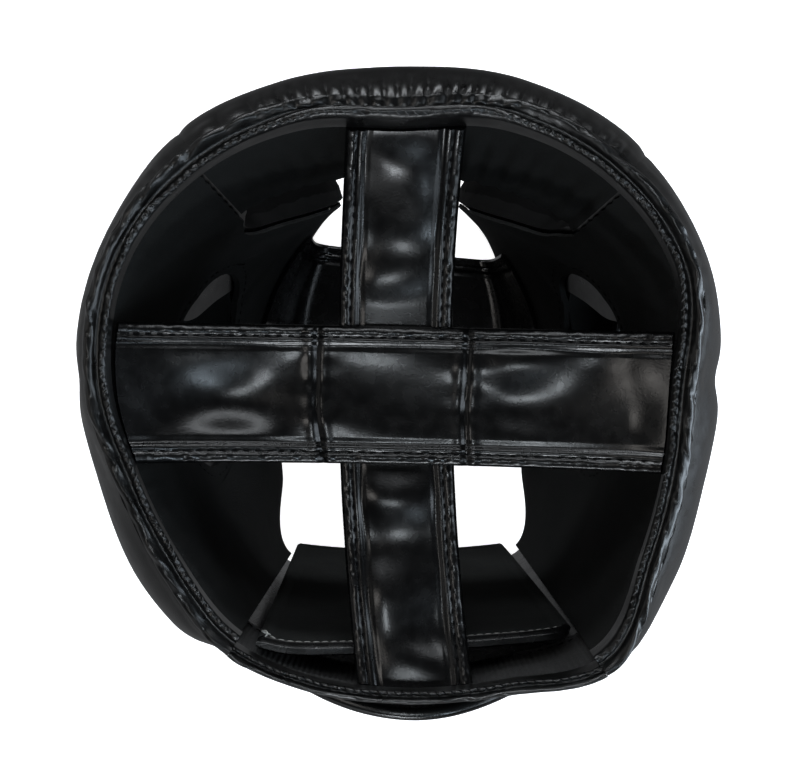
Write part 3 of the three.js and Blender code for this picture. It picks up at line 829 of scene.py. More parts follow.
def gathers(wave, distance, depth, reach):
    """Puckers that run away from a gathered edge and die out with the distance from it."""
    near = bell(np.maximum(distance - 1, 0), 0, reach)
    return depth * near * (wave - 0.5)


def puffed(wave, distance, depth):
    """Puffs of a gathered pad beside its sewn edge: they rise from the edge and die out over the pad."""
    return depth * bell(distance, 2.5, 5.5) * (wave - 0.3)


def forehead_puffs(around):
    """Puffs along the gathered forehead: even in the middle, large at the left, faint at the right."""
    run = arc(around, RIM_ARC)
    fine = gather_wave(run, 4.8, 11)
    large = gather_wave(run, 9.5, 13)
    faint = lerp(0.45, 1, smoothstep(around, -34, -14))
    return lerp(0.5 + (fine - 0.5) * faint, large, smoothstep(around, 22, 30))


# Forehead


def seam_wander(height):
    """How far a hand-sewn seam strays to the side on its way up, in degrees."""
    return SEAM_WANDER * np.sin(2 * np.pi * height / SEAM_WANDER_LENGTH)


def forehead_place(rows, columns):
    """Angles and heights over the forehead, from brow to rim and from the right seam to the left one."""
    around = SEAM_RIGHT + (SEAM_LEFT - SEAM_RIGHT) * columns[None, :] + 0 * rows[:, None]
    low, top = brow_height(around), rim_height(around)
    height = low + (top - low) * rows[:, None]
    return around + seam_wander(height), height


def seam_dip(around, height, seams):
    """The share of the padding left beside a seam, and the distance from it."""
    nearest = np.min([np.abs(around - seam) for seam in seams], axis=0)
    run = arc(nearest, wall_radius(around, height))
    return 1 - SEAM_GROOVE_DEPTH * (1 - quarter_round(run, SEAM_GROOVE_WIDTH)), run


def forehead_thickness(around, height):
    """The forehead's padding: full in the middle and rounded towards the brow, the rim and the seams."""
    low, top = brow_height(around), rim_height(around)
    seam, _ = seam_dip(around, height, (SEAM_RIGHT, SEAM_LEFT))
    shoulder = swell(top - height, plan(around, "shoulder"))
    share = shoulder * quarter_round(height - low, ROUND_BROW) * seam
    return PAD_EDGE + (plan(around, "foam") - PAD_EDGE) * share


def forehead_loose(around, height):
    """How free the forehead's sheet is to swell: not at all along the brow and the rim."""
    return smoothstep(height - brow_height(around), 0, 10) * smoothstep(rim_height(around) - height, 0, 8)


def forehead_pad():
    """The front cushion, gathered along the rim and stitched along the brow."""
    coarse = (towards_edges(18), np.linspace(0, 1, 41))
    fine = (towards_edges(72), np.linspace(0, 1, 280))
    around, height = forehead_place(*fine)
    outer = padded_outer(forehead_place, forehead_thickness, coarse, fine, forehead_loose)
    top = rim_height(around)
    _, to_seam = seam_dip(around, height, (SEAM_RIGHT, SEAM_LEFT))
    to_rim = np.linalg.norm(outer - outer[-1:], axis=-1)
    to_brow = np.linalg.norm(outer - outer[:1], axis=-1)
    inside = smoothstep(to_seam, 0, 4) * smoothstep(top - height, 0, 3) * smoothstep(to_brow, 0, 4)
    relief = soft_dents(outer, 0.3, 3) * inside
    relief += puffed(forehead_puffs(around), to_rim, 2.2) * smoothstep(to_seam, 1, 7)
    relief += edge_seam(to_brow, BROW_STITCH, 0.4, 1.2) * smoothstep(to_seam, 2, 8)
    outer = outer + normals(outer) * relief[..., None]
    inner = shell(around, height, PAD_INNER + 0 * height)
    build = Build("forehead_padding", PAD_LEATHER, DARK_THREAD)
    build.add_body(inner, outer)
    row = closest(to_brow[:, fine[1].size // 2], BROW_STITCH)
    add_stitches(build, outer[row, 4:-4], face_normals(outer)[row, 4:-4], 1, seed=5)
    build.finish("forehead_pad")


def face_normals(grid):
    """Normals of an outer grid, turned away from the guard's middle."""
    found = normals(grid)
    middle = np.array([0, 0, 100.0])
    outward = np.sign(np.sum(found * (grid - middle), axis=-1, keepdims=True))
    return found * np.where(outward == 0, 1, outward)


def forehead_lining():
    """The cloth behind the forehead pad, with upright ribs that fade out below the rim."""
    rows, columns = np.linspace(0, 1, 60), np.linspace(0, 1, 200)
    around = lerp(SEAM_RIGHT - LINING_LAP, SEAM_LEFT + LINING_LAP, columns)[None, :] + 0 * rows[:, None]
    inset = 1.0
    low, top = brow_height(around) + inset, rim_height(around) - inset
    height = low + (top - low) * rows[:, None]
    run = arc(around, FOREHEAD_LINING_ARC)
    wander = 1.6 * noise(np.stack([height, 0.2 * run], -1), 24, 21)
    phase = (run + wander) / 7.6
    ridge = (0.5 - 0.5 * np.cos(2 * np.pi * phase)) ** 0.75
    strength = lerp(0.35, 1, smoothstep(-around, -20, 20)) * (0.8 + 0.3 * noise(run[..., None], 15, 22))
    share = (height - low) / (top - low)
    fade = (1 - smoothstep(share, 0.5, 0.86)) * lerp(0.5, 1, smoothstep(share, 0, 0.3))
    ribs = -2.3 * ridge * strength * fade
    spots = shell(around, height, 0 * ribs)
    nap = 0.25 * noise(spots, 9, 23) * smoothstep(share, 0, 0.08) * (1 - smoothstep(share, 0.8, 0.88))
    inner = shell(around, height, ribs + nap)
    outer = shell(around, height, LINING + 0 * ribs)
    build = Build("forehead_lining_cloth", LINING_CLOTH)
    build.add_body(inner, outer)
    piece = build.finish("forehead_lining")


# Side pads


def side_place(seam, back, inset=0.0):
    """A function that gives angles and heights over one side, from face to back and from hem to rim."""
    turn = np.sign(seam)

    def place(rows, columns):
        level = rows[:, None] * rim_height(seam)
        on_seam = smoothstep(level, *FACE_TO_SEAM)
        start = face_edge(level, seam) + turn * inset * (1 - on_seam) + seam_wander(level) * on_seam
        around = start + (back - turn * inset / 4 - start) * columns[None, :]
        low, top = hem_height(around) + inset, rim_height(around) - inset
        return around, low + (top - low) * rows[:, None]

    return place


def to_face(around, height, seam):
    """Distance over the unrolled wall from each place to the face edge below the brow."""
    radius = wall_radius(around, height)
    nearest = np.full(np.shape(around), 1e9)
    for level in np.linspace(0, FACE_TOP, 281):
        run = arc(around - face_edge(level, seam), radius)
        nearest = np.minimum(nearest, np.hypot(run, height - level))
    return nearest


def to_ear(around, height):
    """How far each place is beyond the edge of the ear opening, in the scale of its height."""
    length = (wall_radius(around, height) * np.cos(np.radians(around)) - EAR_AHEAD) / EAR_SIZE[0]
    return (np.hypot(length, (height - EAR_HEIGHT) / EAR_SIZE[1]) - 1) * EAR_SIZE[1]


def side_thickness(seam, back):
    """A function that gives the padding over one side, rounded at every edge and tucked above the ear."""

    def thickness(around, height):
        radius = wall_radius(around, height)
        to_back = arc(np.abs(back - around), radius)
        on_seam = smoothstep(height, *SEAM_GROOVE_RANGE)
        seam_round, _ = seam_dip(around, height, (seam,))
        front = lerp(quarter_round(to_face(around, height, seam), ROUND_FACE), seam_round, on_seam)
        rim = swell(rim_height(around) - height, plan(around, "shoulder"))
        hem = quarter_round(height - hem_height(around) + HEM_FOOT, ROUND_HEM)
        lip = 1 - EAR_LIP_DEPTH * (1 - smoothstep(to_ear(around, height), 0, EAR_LIP))
        tuck_line = bell(np.abs(around), TUCK_AROUND, TUCK_WIDTH)
        tuck = 1 - TUCK_DEPTH * smoothstep(height, *TUCK_RANGE) * tuck_line
        share = front * rim * hem * quarter_round(to_back, ROUND_BACK) * lip * tuck
        return PAD_EDGE + (plan(around, "foam") - PAD_EDGE) * share

    return thickness


def ear_block(grid, size):
    """Rows and columns of the cells that the ear opening takes out of a grid of points."""
    y, z = grid[..., 1] + EAR_AHEAD, grid[..., 2] - EAR_HEIGHT
    row, column = np.unravel_index(np.argmin(np.hypot(y, z)), y.shape)
    inside = np.hypot(y / size[0], z / size[1]) < EAR_BLOCK
    rows, columns = np.flatnonzero(inside[:, column]), np.flatnonzero(inside[row])
    return int(rows[0]), int(rows[-1]), int(columns[0]), int(columns[-1])


def round_ear(grid, block, size):
    """The grid with the block's edge drawn out to an oval of the given half sizes, easing off around it."""
    first_row, last_row, first_column, last_column = block
    i, j = np.meshgrid(np.arange(grid.shape[0]), np.arange(grid.shape[1]), indexing="ij")
    a = (j - (first_column + last_column) / 2) / ((last_column - first_column) / 2)
    b = (i - (first_row + last_row) / 2) / ((last_row - first_row) / 2)
    ring = np.maximum(np.abs(a), np.abs(b))
    y_sign = np.sign(grid[first_row, last_column, 1] - grid[first_row, first_column, 1])
    angle = np.arctan2(b, a * y_sign)
    share = smoothstep(ring, 1, EAR_EASE)
    y = lerp(-EAR_AHEAD + ring * size[0] * np.cos(angle), grid[..., 1], share)
    z = lerp(EAR_HEIGHT + ring * size[1] * np.sin(angle), grid[..., 2], share)
    near = ring < EAR_EASE
    moved = grid.copy()
    moved[..., 1] = np.where(near, y, grid[..., 1])
    moved[..., 2] = np.where(near, z, grid[..., 2])
    slope_y, slope_z = surface_slopes(grid)
    shift = slope_y * (moved[..., 1] - grid[..., 1]) + slope_z * (moved[..., 2] - grid[..., 2])
    moved[..., 0] = np.where(near, grid[..., 0] + shift, grid[..., 0])
    return moved


def surface_slopes(grid):
    """How x changes with y and with z over a grid that faces along X."""
    found = normals(grid)
    across = np.where(np.abs(found[..., 0]) < 0.2, np.sign(found[..., 0]) * 0.2 + 1e-9, found[..., 0])
    return -found[..., 1] / across, -found[..., 2] / across


def side_pad(seam, back, name, node, seed):
    """One side cushion with its temple, cheek and ear opening."""
    turn = np.sign(seam)
    edge = seam + turn * SEAM_GAP
    place, thickness = side_place(edge, back), side_thickness(edge, back)
    coarse = (towards_edges(40), towards_edges(40))
    fine = (towards_edges(168), towards_edges(150))
    around, height = place(*fine)

    def loose(around, height):
        below_rim = smoothstep(rim_height(around) - height, 0, 8)
        free = smoothstep(to_face(around, height, edge), 3, 18) * below_rim
        return np.maximum(free, smoothstep(height, *SEAM_GROOVE_RANGE) * below_rim)

    outer = padded_outer(place, thickness, coarse, fine, loose)
    radius = wall_radius(around, height)
    run = arc(around, SIDE_ARC)
    to_rim = np.linalg.norm(outer - outer[-1:], axis=-1)
    to_hem = np.linalg.norm(outer - outer[:1], axis=-1)
    to_back = arc(np.abs(back - around), radius)
    face = to_face(around, height, edge)
    on_seam = smoothstep(height, *SEAM_GROOVE_RANGE)
    from_front = lerp(face, arc(np.abs(around - edge), radius), on_seam)
    inside = smoothstep(from_front, 0, 5) * smoothstep(to_rim, 0, 4) * smoothstep(to_back, 0, 5)
    inside *= smoothstep(height - hem_height(around), 0, 6)
    relief = soft_dents(outer, 0.4, seed) * inside
    relief += gathers(gather_wave(run, 8.5, seed + 3), to_rim, 0.55, 9.0) * smoothstep(from_front, 1, 8)
    relief += edge_seam(from_front, TRIM_SEAM, 0.45, 2.4) * (1 - on_seam) * smoothstep(to_hem, 3, 10)
    outer = outer + face_normals(outer) * relief[..., None]
    inner = shell(around, height, PAD_INNER + 0 * height)
    block = ear_block(outer, EAR_SIZE)
    outer = round_ear(outer, block, EAR_SIZE)
    inner = round_ear(inner, block, EAR_CUP_SIZE)
    outer = outer + face_normals(outer) * ear_relief(outer, seed + 5)[..., None]
    build = Build(name, PAD_LEATHER, DARK_THREAD, LINING_CLOTH, TRIM_LEATHER)
    trim = (face < TRIM_WIDTH) & (height < SEAM_GROOVE_RANGE[0])
    add_holed_pad(build, inner, outer, block, turn, trim)
    outward = face_normals(outer)
    column = closest(from_front[int(0.3 * fine[0].size)], FACE_STITCH)
    low_row, high_row = int(0.16 * fine[0].size), int(0.56 * fine[0].size)
    add_stitches(build, outer[low_row:high_row, column], outward[low_row:high_row, column], 1, seed=seed)
    oval, nearest = ear_oval(outer, EAR_SIZE, EAR_STITCH)
    add_stitches(build, oval, outward.reshape(-1, 3)[nearest], 1, seed=seed + 1)
    build.finish(node)


def ear_relief(grid, seed):
    """The puffed lip round the ear opening, its stitched line and the puckers that run out from it."""
    y, z = grid[..., 1] + EAR_AHEAD, grid[..., 2] - EAR_HEIGHT
    share = np.hypot(y / EAR_SIZE[0], z / EAR_SIZE[1])
    away = np.maximum(share - 1, 0) * EAR_SIZE[1]
    round_it = np.arctan2(z / EAR_SIZE[1], y / EAR_SIZE[0]) * 30
    lip = -1.6 * (1 - quarter_round(away, 3.0)) + 0.5 * bell(away, 2.8, 1.8)
    puckers = gathers(gather_wave(round_it, 7.0, seed), np.abs(away - EAR_STITCH) + 1, 0.35, 6.0)
    return lip + edge_seam(away, EAR_STITCH, 0.8, 0.9) + puckers


def ear_oval(grid, size, aside):
    """A closed oval of points on a side's grid, outside its ear opening, with the grid's nearest points."""
    angle = np.linspace(0, 2 * np.pi, 241)
    share = 1 + aside / size[1]
    y = -EAR_AHEAD + share * size[0] * np.cos(angle)
    z = EAR_HEIGHT + share * size[1] * np.sin(angle)
    flat = grid.reshape(-1, 3)
    nearest = np.argmin(np.hypot(flat[:, 1] - y[:, None], flat[:, 2] - z[:, None]), axis=1)
    slope_y, slope_z = (slope.reshape(-1)[nearest] for slope in surface_slopes(grid))
    x = flat[nearest, 0] + slope_y * (y - flat[nearest, 1]) + slope_z * (z - flat[nearest, 2])
    return np.stack([x, y, z], -1), nearest


def add_holed_pad(build, inner, outer, block, turn, trim):
    """Adds a pad as one closed body with its ear opening; trim marks the cells in the trim's leather."""
    rows, columns = inner.shape[:2]
    count = rows * columns
    loop = edge_loop(*block, columns)
    mouth = outer.reshape(-1, 3)[loop]
    back = inner.reshape(-1, 3)[loop]
    ledge = np.stack([0 * mouth[:, 0] + turn * EAR_FLOOR, mouth[:, 1], mouth[:, 2]], -1)
    seat = np.stack([0 * back[:, 0] + turn * EAR_FLOOR, back[:, 1], back[:, 2]], -1)
    centre = np.array([0, -EAR_AHEAD, EAR_HEIGHT])
    shrink = np.array([1, 0.965, 0.965])
    throat = (ledge - centre) * shrink + centre
    rings = [
        (mouth - centre) * np.array([1, 0.985, 0.985]) + centre - np.array([turn * 0.7, 0, 0]),
        (mouth - centre) * shrink + centre - np.array([turn * 2.4, 0, 0]),
        lerp(mouth, throat, 0.7) * np.array([1, 0, 0]) + throat * np.array([0, 1, 1]),
        throat,
        lerp(throat, seat, 0.12),
        lerp(throat, seat, 0.5),
        lerp(throat, seat, 0.9),
        lerp(seat, back, 0.12),
        lerp(seat, back, 0.6),
    ]
    points = np.concatenate([inner.reshape(-1, 3), outer.reshape(-1, 3), *rings])
    rim = edge_loop(0, rows - 1, 0, columns - 1, columns)
    size = len(loop)
    loops = [loop + count]
    loops += [2 * count + k * size + np.arange(size) for k in range(len(rings))]
    loops.append(loop)
    walls = [ring_faces(second, first) for first, second in zip(loops, loops[1:])]
    faces = [
        grid_faces(rows, columns, 0, True, block),
        grid_faces(rows, columns, count, False, block),
        ring_faces(rim + count, rim),
        *walls,
    ]
    left_in = np.ones((rows - 1, columns - 1), bool)
    left_in[block[0] : block[1], block[2] : block[3]] = False
    outer_kinds = np.where(trim[:-1, :-1][left_in], 3, 0)
    kinds = [np.full(len(faces[0]), 0), outer_kinds, np.full(len(faces[2]), 3)]
    kinds += [np.full(len(part), 0 if k < 4 else 2) for k, part in enumerate(walls)]
    kinds = np.concatenate(kinds)
    build.add(points, facing_out(points, np.concatenate(faces)), kinds)


def side_lining(seam, back, name, node, seed):
    """The cloth behind one side pad, pleated below the rim, with a stitched ear opening."""
    turn = np.sign(seam)
    edge = seam + turn * (LINING_LAP + LINING_SEAM_GAP)
    place = side_place(edge, back + turn * LINING_LAP, 1.2)
    rows, columns = np.linspace(0, 1, 110), np.linspace(0, 1, 110)
    around, height = place(rows, columns)
    run = arc(around, SIDE_LINING_ARC)
    below_rim = rim_height(around) - height
    spots = shell(around, height, 0 * height)
    away = smoothstep(columns, 0, 0.06) * (1 - smoothstep(columns, 0.94, 1))
    away = away[None, :] * smoothstep(rows, 0, 0.05)[:, None] * smoothstep(below_rim, 8.5, 13)
    hollows = 0.9 * np.minimum(noise(spots, 36, seed), 0.4) + 0.35 * noise(spots, 14, seed + 1) - 0.4
    pleats = gathers(gather_wave(run, 10.0, seed + 2), np.maximum(below_rim - 9, 0), 1.3, 26.0)
    inner = shell(around, height, np.minimum(hollows + pleats, 0.2) * away)
    outer = shell(around, height, LINING + 0 * height)
    block = ear_block(outer, EAR_CUP_SIZE)
    inner = round_ear(inner, block, EAR_CUP_SIZE)
    outer = round_ear(outer, block, EAR_CUP_SIZE)
    build = Build(name, LINING_CLOTH, DARK_THREAD)
    build.add_body(inner, outer, block)
    oval, nearest = ear_oval(inner, EAR_CUP_SIZE, EAR_LINING_STITCH)
    add_stitches(build, oval, -face_normals(inner).reshape(-1, 3)[nearest], 1, seed=seed)
    piece = build.finish(node)


# Rim binding


def binding_sections(around, size):
    """Closed sections of the rim binding along the rim, rounded; size draws in its parts by shares."""
    overlap, cover, top, leg = size
    front = (1 - smoothstep(np.abs(around), *FRONT_REACH))[:, None, None]
    corners = lerp(np.array(SIDE_SECTION)[None], np.array(FRONT_SECTION)[None], front)
    corners[..., 0] *= np.where(corners[..., 0] < 0, overlap, cover)
    corners[..., 1] *= np.where(corners[..., 1] < 0, leg, np.where(corners[..., 1] > 0.5, top, 1.0))
    count = corners.shape[1]
    closed = np.concatenate([corners, corners[:, :1]], axis=1)
    sections = curve(np.arange(count + 1), closed.swapaxes(0, 1), np.arange(0, count, 0.5)).swapaxes(0, 1)
    return sections, front[..., 0]


def rim_binding(name, node, held_by, start, end, seed, size=FULL_RIM, shift=0.0, stitch=1):
    """The folded edge along a stretch of the rim, with its rucks, gathers and stitched bead."""
    length = math.radians(abs(end - start)) * SIDE_ARC
    around = np.linspace(start, end, int(length / 0.6))
    sections, front = binding_sections((around + 180) % 360 - 180, size)
    out, up = sections[..., 0], sections[..., 1]
    run = arc(around, RIM_ARC)[:, None] + 0 * out
    line = np.stack([run, 0 * run], -1)
    spot = np.stack([run + 1.5 * out, 1.6 * out], -1)
    top = smoothstep(up, 0.45, 1.2)
    ridge = smoothstep(out, 0.6, 1.8)
    bead = bell(out, -1.8 * size[0], 1.1) * smoothstep(up, -0.5, 0.8)
    rucks = 0.5 * noise(spot, 2.6, seed) + 0.6 * noise(spot, 5.5, seed + 1)
    rucks += 0.9 * ripples(spot, 9, seed + 7)
    twisted = 1 + 1.2 * bell(around, SEAM_LEFT, 7)[:, None]
    strands = 0.32 * np.cos(2 * np.pi * (run / 3.1 + 0.22 * out)) + 0.4 * noise(spot, 1.9, seed + 3)
    puffs = forehead_puffs(around)[:, None] - 0.3
    strip = smoothstep(out, 0.9, 2.4) * smoothstep(up, 0.52, 0.66)
    in_front = (around < SEAM_LEFT) & (around > SEAM_RIGHT)
    gathered = (smoothstep(around, SEAM_RIGHT, -20) * in_front)[:, None]
    rise = top * ridge * rucks * 0.75 * (1 - 0.6 * gathered) * twisted
    rise += strip * gathered * 1.1 * puffs
    rise += bead * (strands * (1 - 0.8 * front) + 0.3 * noise(spot, 4.5, seed + 4) * (0.6 + front))
    sway = 0.75 * noise(line, 9, seed + 5) * (1 - 0.5 * front)
    aside = bead * sway + ridge * top * (0.6 * np.minimum(noise(line, 15, seed + 2), 0.2) - 0.1)
    height = rim_height(around)[:, None] + up + size[2] * rise
    grid = shell(around[:, None] + 0 * out, height, out + shift + size[1] * aside)
    points = grid.reshape(-1, 3)
    walls, first, last = tube(*grid.shape[:2])
    faces = np.concatenate([walls, end_cap(first)[:, ::-1], end_cap(last)])
    build = Build(name, BINDING_LEATHER, DARK_THREAD, GREY_THREAD)
    build.add(points, facing_out(points, faces))
    column = 2 * BEAD_TOP - 1
    add_stitches(build, grid[:, column], upward(grid)[:, column], stitch, seed, **RIM_STITCH)
    piece = build.finish(node)


def end_cap(loop):
    """Quads that close an end section, from one side of the fold to the other."""
    k = np.arange(len(loop) // 2 - 1)
    return np.stack([loop[k], loop[k + 1], loop[-2 - k], loop[-1 - k]], -1)


# Straps


def reach(direction, aside, height):
    """How far from the axis a line meets the lining, along a direction, held aside from it, at a height."""
    sideways = np.array([-direction[1], direction[0]])
    aside, height = np.broadcast_arrays(np.asarray(aside, float), np.asarray(height, float))
    near, far = np.zeros(aside.shape), np.full(aside.shape, 150.0)
    for _ in range(40):
        middle = (near + far) / 2
        x = direction[0] * middle + sideways[0] * aside
        y = direction[1] * middle + sideways[1] * aside
        inside = np.hypot(x, y) < wall_radius(np.degrees(np.arctan2(x, -y)), height)
        near = np.where(inside, middle, near)
        far = np.where(inside, far, middle)
    return near


def strap_places(width):
    """Positions across a strap, close together over its hems."""
    half = width / 2
    hem = np.concatenate([np.linspace(0, 1.2, 7), np.linspace(1.5, 9.5, 27)])
    middle = np.linspace(-half + 10.3, half - 10.3, 20)
    return np.concatenate([hem - half, middle, (half - hem)[::-1]])


def strap_body(middle, places, width, run, relief, seed):
    """A strap's two faces over a grid of middle points: puffed hems, stitch dimples and a relief on top."""
    edge = width / 2 - np.abs(places)
    half = STRAP / 2 * quarter_round(edge + 0.12, 1.3)
    dimple = np.cos(np.pi * run / STITCH_PITCH) ** 6
    puff = 0.14 * bell(edge, 2.2, 1.4)[None, :] * (dimple[:, None] - 0.4)
    pulled = -0.16 * bell(edge, HEM_STITCH, 0.7)[None, :] * dimple[:, None]
    spots = strap_spots(run, places)
    pucker = 0.26 * noise(spots * np.array([1, 0.5]), 3.2, seed) + 0.14 * noise(spots, 1.8, seed + 1)
    ruck = pucker * bell(edge, 2.6, 2.0)[None, :]
    above = half[None, :] + curve(HEM_DISTANCE, HEM_RISE, edge)[None, :] + puff + pulled + ruck + relief
    up = upward(middle)
    return middle - up * half[None, :, None], middle + up * above[..., None], up


def upward(grid):
    """Normals of a grid, turned up."""
    found = normals(grid)
    return found * np.where(found[..., 2:3] < 0, -1, 1)


def sewn_ends(run):
    """0 along a strap's two sewn ends and 1 away from them."""
    return (smoothstep(run, 0, 14) * smoothstep(run[-1] - run, 0, 14))[:, None]


def strap_spots(run, places):
    """Places on an unrolled strap."""
    return np.stack([run[:, None] + 0 * places[None, :], places[None, :] + 0 * run[:, None]], -1)


def add_strap(build, under, over, up, places, width, seed, ends=6):
    """Adds a strap's body and the stitches along its two hems."""
    build.add_body(under, over)
    for edge in (-1, 1):
        column = closest(places, edge * (width / 2 - HEM_STITCH))
        add_stitches(build, over[ends:-ends, column], up[ends:-ends, column], 1, seed=seed)


def crown_middle(direction, drift, ends, middle_height, lengthen, places):
    """Middle points of a crown strap that hangs between two places on the lining."""
    direction = np.array(direction, float)
    sideways = np.array([-direction[1], direction[0]])
    stand_off = STRAP / 2 + STRAP_CLEARANCE
    first, half_way, last = drift

    def drift_at(t):
        return first * (1 - t) * (1 - 2 * t) + 4 * half_way * t * (1 - t) + last * t * (2 * t - 1)

    start = reach(direction, drift_at(0) + places, ends[0]) - stand_off
    end = reach(-direction, -drift_at(1) - places, ends[1]) - stand_off + lengthen
    t = np.linspace(0, 1, CROWN_STEPS)[:, None]
    height = lerp(middle_height, np.where(t < 0.5, ends[0], ends[1]), np.abs(2 * t - 1) ** SAG_POWER)
    forward = lerp(start[None, :], -end[None, :], t)
    aside = drift_at(t) + places[None, :]
    x = direction[0] * forward + sideways[0] * aside
    y = direction[1] * forward + sideways[1] * aside
    return np.stack([x, y, height + 0 * x], -1)


def strap_run(middle):
    """Distance along a strap's middle line."""
    steps = np.linalg.norm(np.diff(middle[:, middle.shape[1] // 2], axis=0), axis=1)
    return np.concatenate([[0], np.cumsum(steps)])


def long_strap():
    """The crown strap from the forehead to the back, flattened where the cross strap lies over it."""
    width = LONG_WIDTH
    places = strap_places(width)
    ends = (float(rim_height(0)) - LONG_BELOW_RIM[0], float(rim_height(180)) - LONG_BELOW_RIM[1])
    middle = crown_middle((0, -1), LONG_DRIFT, ends, LONG_HEIGHT, LONG_FURTHER, places)
    run = strap_run(middle)
    free = smoothstep(np.abs(middle[:, places.size // 2, 1]), 26, 42)[:, None]
    flat = smoothstep(width / 2 - np.abs(places), 4, 13)[None, :]
    pillow = 1.6 * np.cos(np.pi * places / width)[None, :] ** 2
    bend = 2.2 * ripples(strap_spots(run, places), 38, 41) + pillow
    bend = bend * (0.35 + 0.65 * flat) * lerp(0.12, 1, free) * sewn_ends(run)
    middle = middle + upward(middle) * bend[..., None]
    under, over, up = strap_body(middle, places, width, run, 0 * bend, 44)
    build = Build("crown_strap_long_leather", STRAP_LEATHER, DARK_THREAD)
    add_strap(build, under, over, up, places, width, 45)
    piece = build.finish("crown_strap_long")


def cross_strap():
    """The crown strap from side to side, with a seam on each side of the long strap."""
    width = CROSS_WIDTH
    places = strap_places(width)
    ends = (float(rim_height(90)) - CROSS_BELOW_RIM, float(rim_height(-90)) - CROSS_BELOW_RIM)
    middle = crown_middle((1, 0), CROSS_DRIFT, ends, CROSS_HEIGHT, 0.0, places)
    run = strap_run(middle)
    x = middle[:, places.size // 2, 0]
    free = smoothstep(np.abs(x), 26, 40)[:, None]
    flat = smoothstep(width / 2 - np.abs(places), 4, 14)[None, :]
    sag = -1.2 * np.cos(np.pi * places / (width - 8))[None, :] ** 2
    bend = 2.2 * ripples(strap_spots(run, places), 38, 51) + sag
    bend = bend * (0.35 + 0.65 * flat) * sewn_ends(run)
    middle = middle + upward(middle) * (bend * lerp(0.12, 1, free))[..., None]
    relief = 0.8 * np.tanh(bend * (1 - free) * 0.8)
    creases = np.zeros_like(bend)
    for seam in CROSS_SEAMS:
        aside = (x - seam)[:, None] + 0.6 * noise(places[None, :, None], 12, 53)
        creases += -0.75 * bell(aside, 0, 0.9) + 0.35 * bell(np.abs(aside), 2.6, 1.6)
        pulls = bell(aside, 0, 7) * np.cos(2 * np.pi * places[None, :] / 9.5) * 0.22
        creases += pulls * flat
    under, over, up = strap_body(middle, places, width, run, relief + creases, 54)
    build = Build("crown_strap_cross_leather", STRAP_LEATHER, DARK_THREAD)
    add_strap(build, under, over, up, places, width, 55)
    piece = build.finish("crown_strap_cross")


# Back closure


def back_band():
    """The ribbed band that joins the side pads at the top of the back."""
    rows, columns = np.linspace(0, 1, 36), np.linspace(0, 1, 300)
    around = lerp(*BACK_SPAN, columns)[None, :] + 0 * rows[:, None]
    height = rim_height(around) - BAND_DEPTH * (1 - rows[:, None])
    run = arc(around, BAND_ARC)
    ribs = 0.2 * np.cos(2 * np.pi * run / 1.9) * smoothstep(rows, 0.0, 0.06)[:, None]
    edge = 0.35 * (1 - smoothstep(rows, 0.08, 0.12))[:, None]
    sway = 0.3 * noise(np.stack([run, height], -1), 22, 61)
    inner = shell(around, height, PAD_INNER + 0.15 + ribs - edge)
    outer = shell(around, height, PAD_INNER + BAND - 0.2 + 0.3 * np.minimum(sway, 0))
    build = Build("back_band_webbing", BAND_CLOTH, DARK_THREAD)
    build.add_body(inner, outer)
    inward = -face_normals(inner)
    add_stitches(build, inner[3, 3:-3], inward[3, 3:-3], 1, seed=62)
    piece = build.finish("back_band")


def closure_tab():
    """The inner tab of the closure, with a strip of leather and a row of stitches along its top."""
    rows, columns = np.linspace(0, 1, 120), towards_edges(80)
    v, u = rows[:, None], columns[None, :]

    def at(key):
        return lerp(TAB_FOOT[key], TAB_TOP[key], v)

    across = lerp(at("left"), at("right"), u)
    to_side = np.minimum(at("left") - across, across - at("right"))
    corner = TAB_CORNER * (1 - quarter_round(across - at("right"), TAB_CORNER))
    back = at("back") + TAB_BOW * (1 - (2 * u - 1) ** 2) + v * curve(TAB_LEAN_ACROSS, TAB_LEAN, u)
    height = at("height") + (curve((0, 0.5, 1), TAB_TILT, u) - corner) * v
    middle = np.stack([across, back, height], -1)
    from_top = (1 - v) * TAB_LENGTH + 0 * to_side
    edge = np.minimum(np.minimum(to_side, from_top), v * TAB_LENGTH)
    thick = TAB / 2 * quarter_round(edge + 0.3, 2.4)
    sag = 0.5 * noise(middle, 40, 71) + 0.15 * noise(middle, 13, 72)
    hem = edge_seam(edge, TAB_STITCH, 0.45, 0.7) + 0.3 * bell(edge, 2.5, 1.8)
    face = normals(middle)
    face = face * np.where(face[..., 1:2] > 0, -1, 1)
    front = middle + face * (thick + (sag * smoothstep(edge, 0, 8) + hem))[..., None]
    rear = middle - face * thick[..., None]
    build = Build("closure_tab_cloth", TAB_CLOTH, PALE_THREAD, STRAP_LEATHER)
    points, faces = body_between(rear, front)
    rows_count, columns_count = front.shape[:2]
    cells = (rows_count - 1) * (columns_count - 1)
    strip = (from_top[:-1, :-1] < TAB_STRIP).reshape(-1)
    kinds = np.full(len(faces), 2)
    kinds[cells : 2 * cells] = np.where(strip, 2, 0)
    build.add(points, facing_out(points, faces), kinds)
    row = closest(from_top[:, 0], TAB_STITCH)
    add_stitches(build, front[row, 9:-9], face[row, 9:-9], 1, pitch=3.0, length=2.9, radius=0.3, seed=73)
    build.add(*thread_tail(front[row, 9], face[row, 9]), 1)
    piece = build.finish("closure_tab")


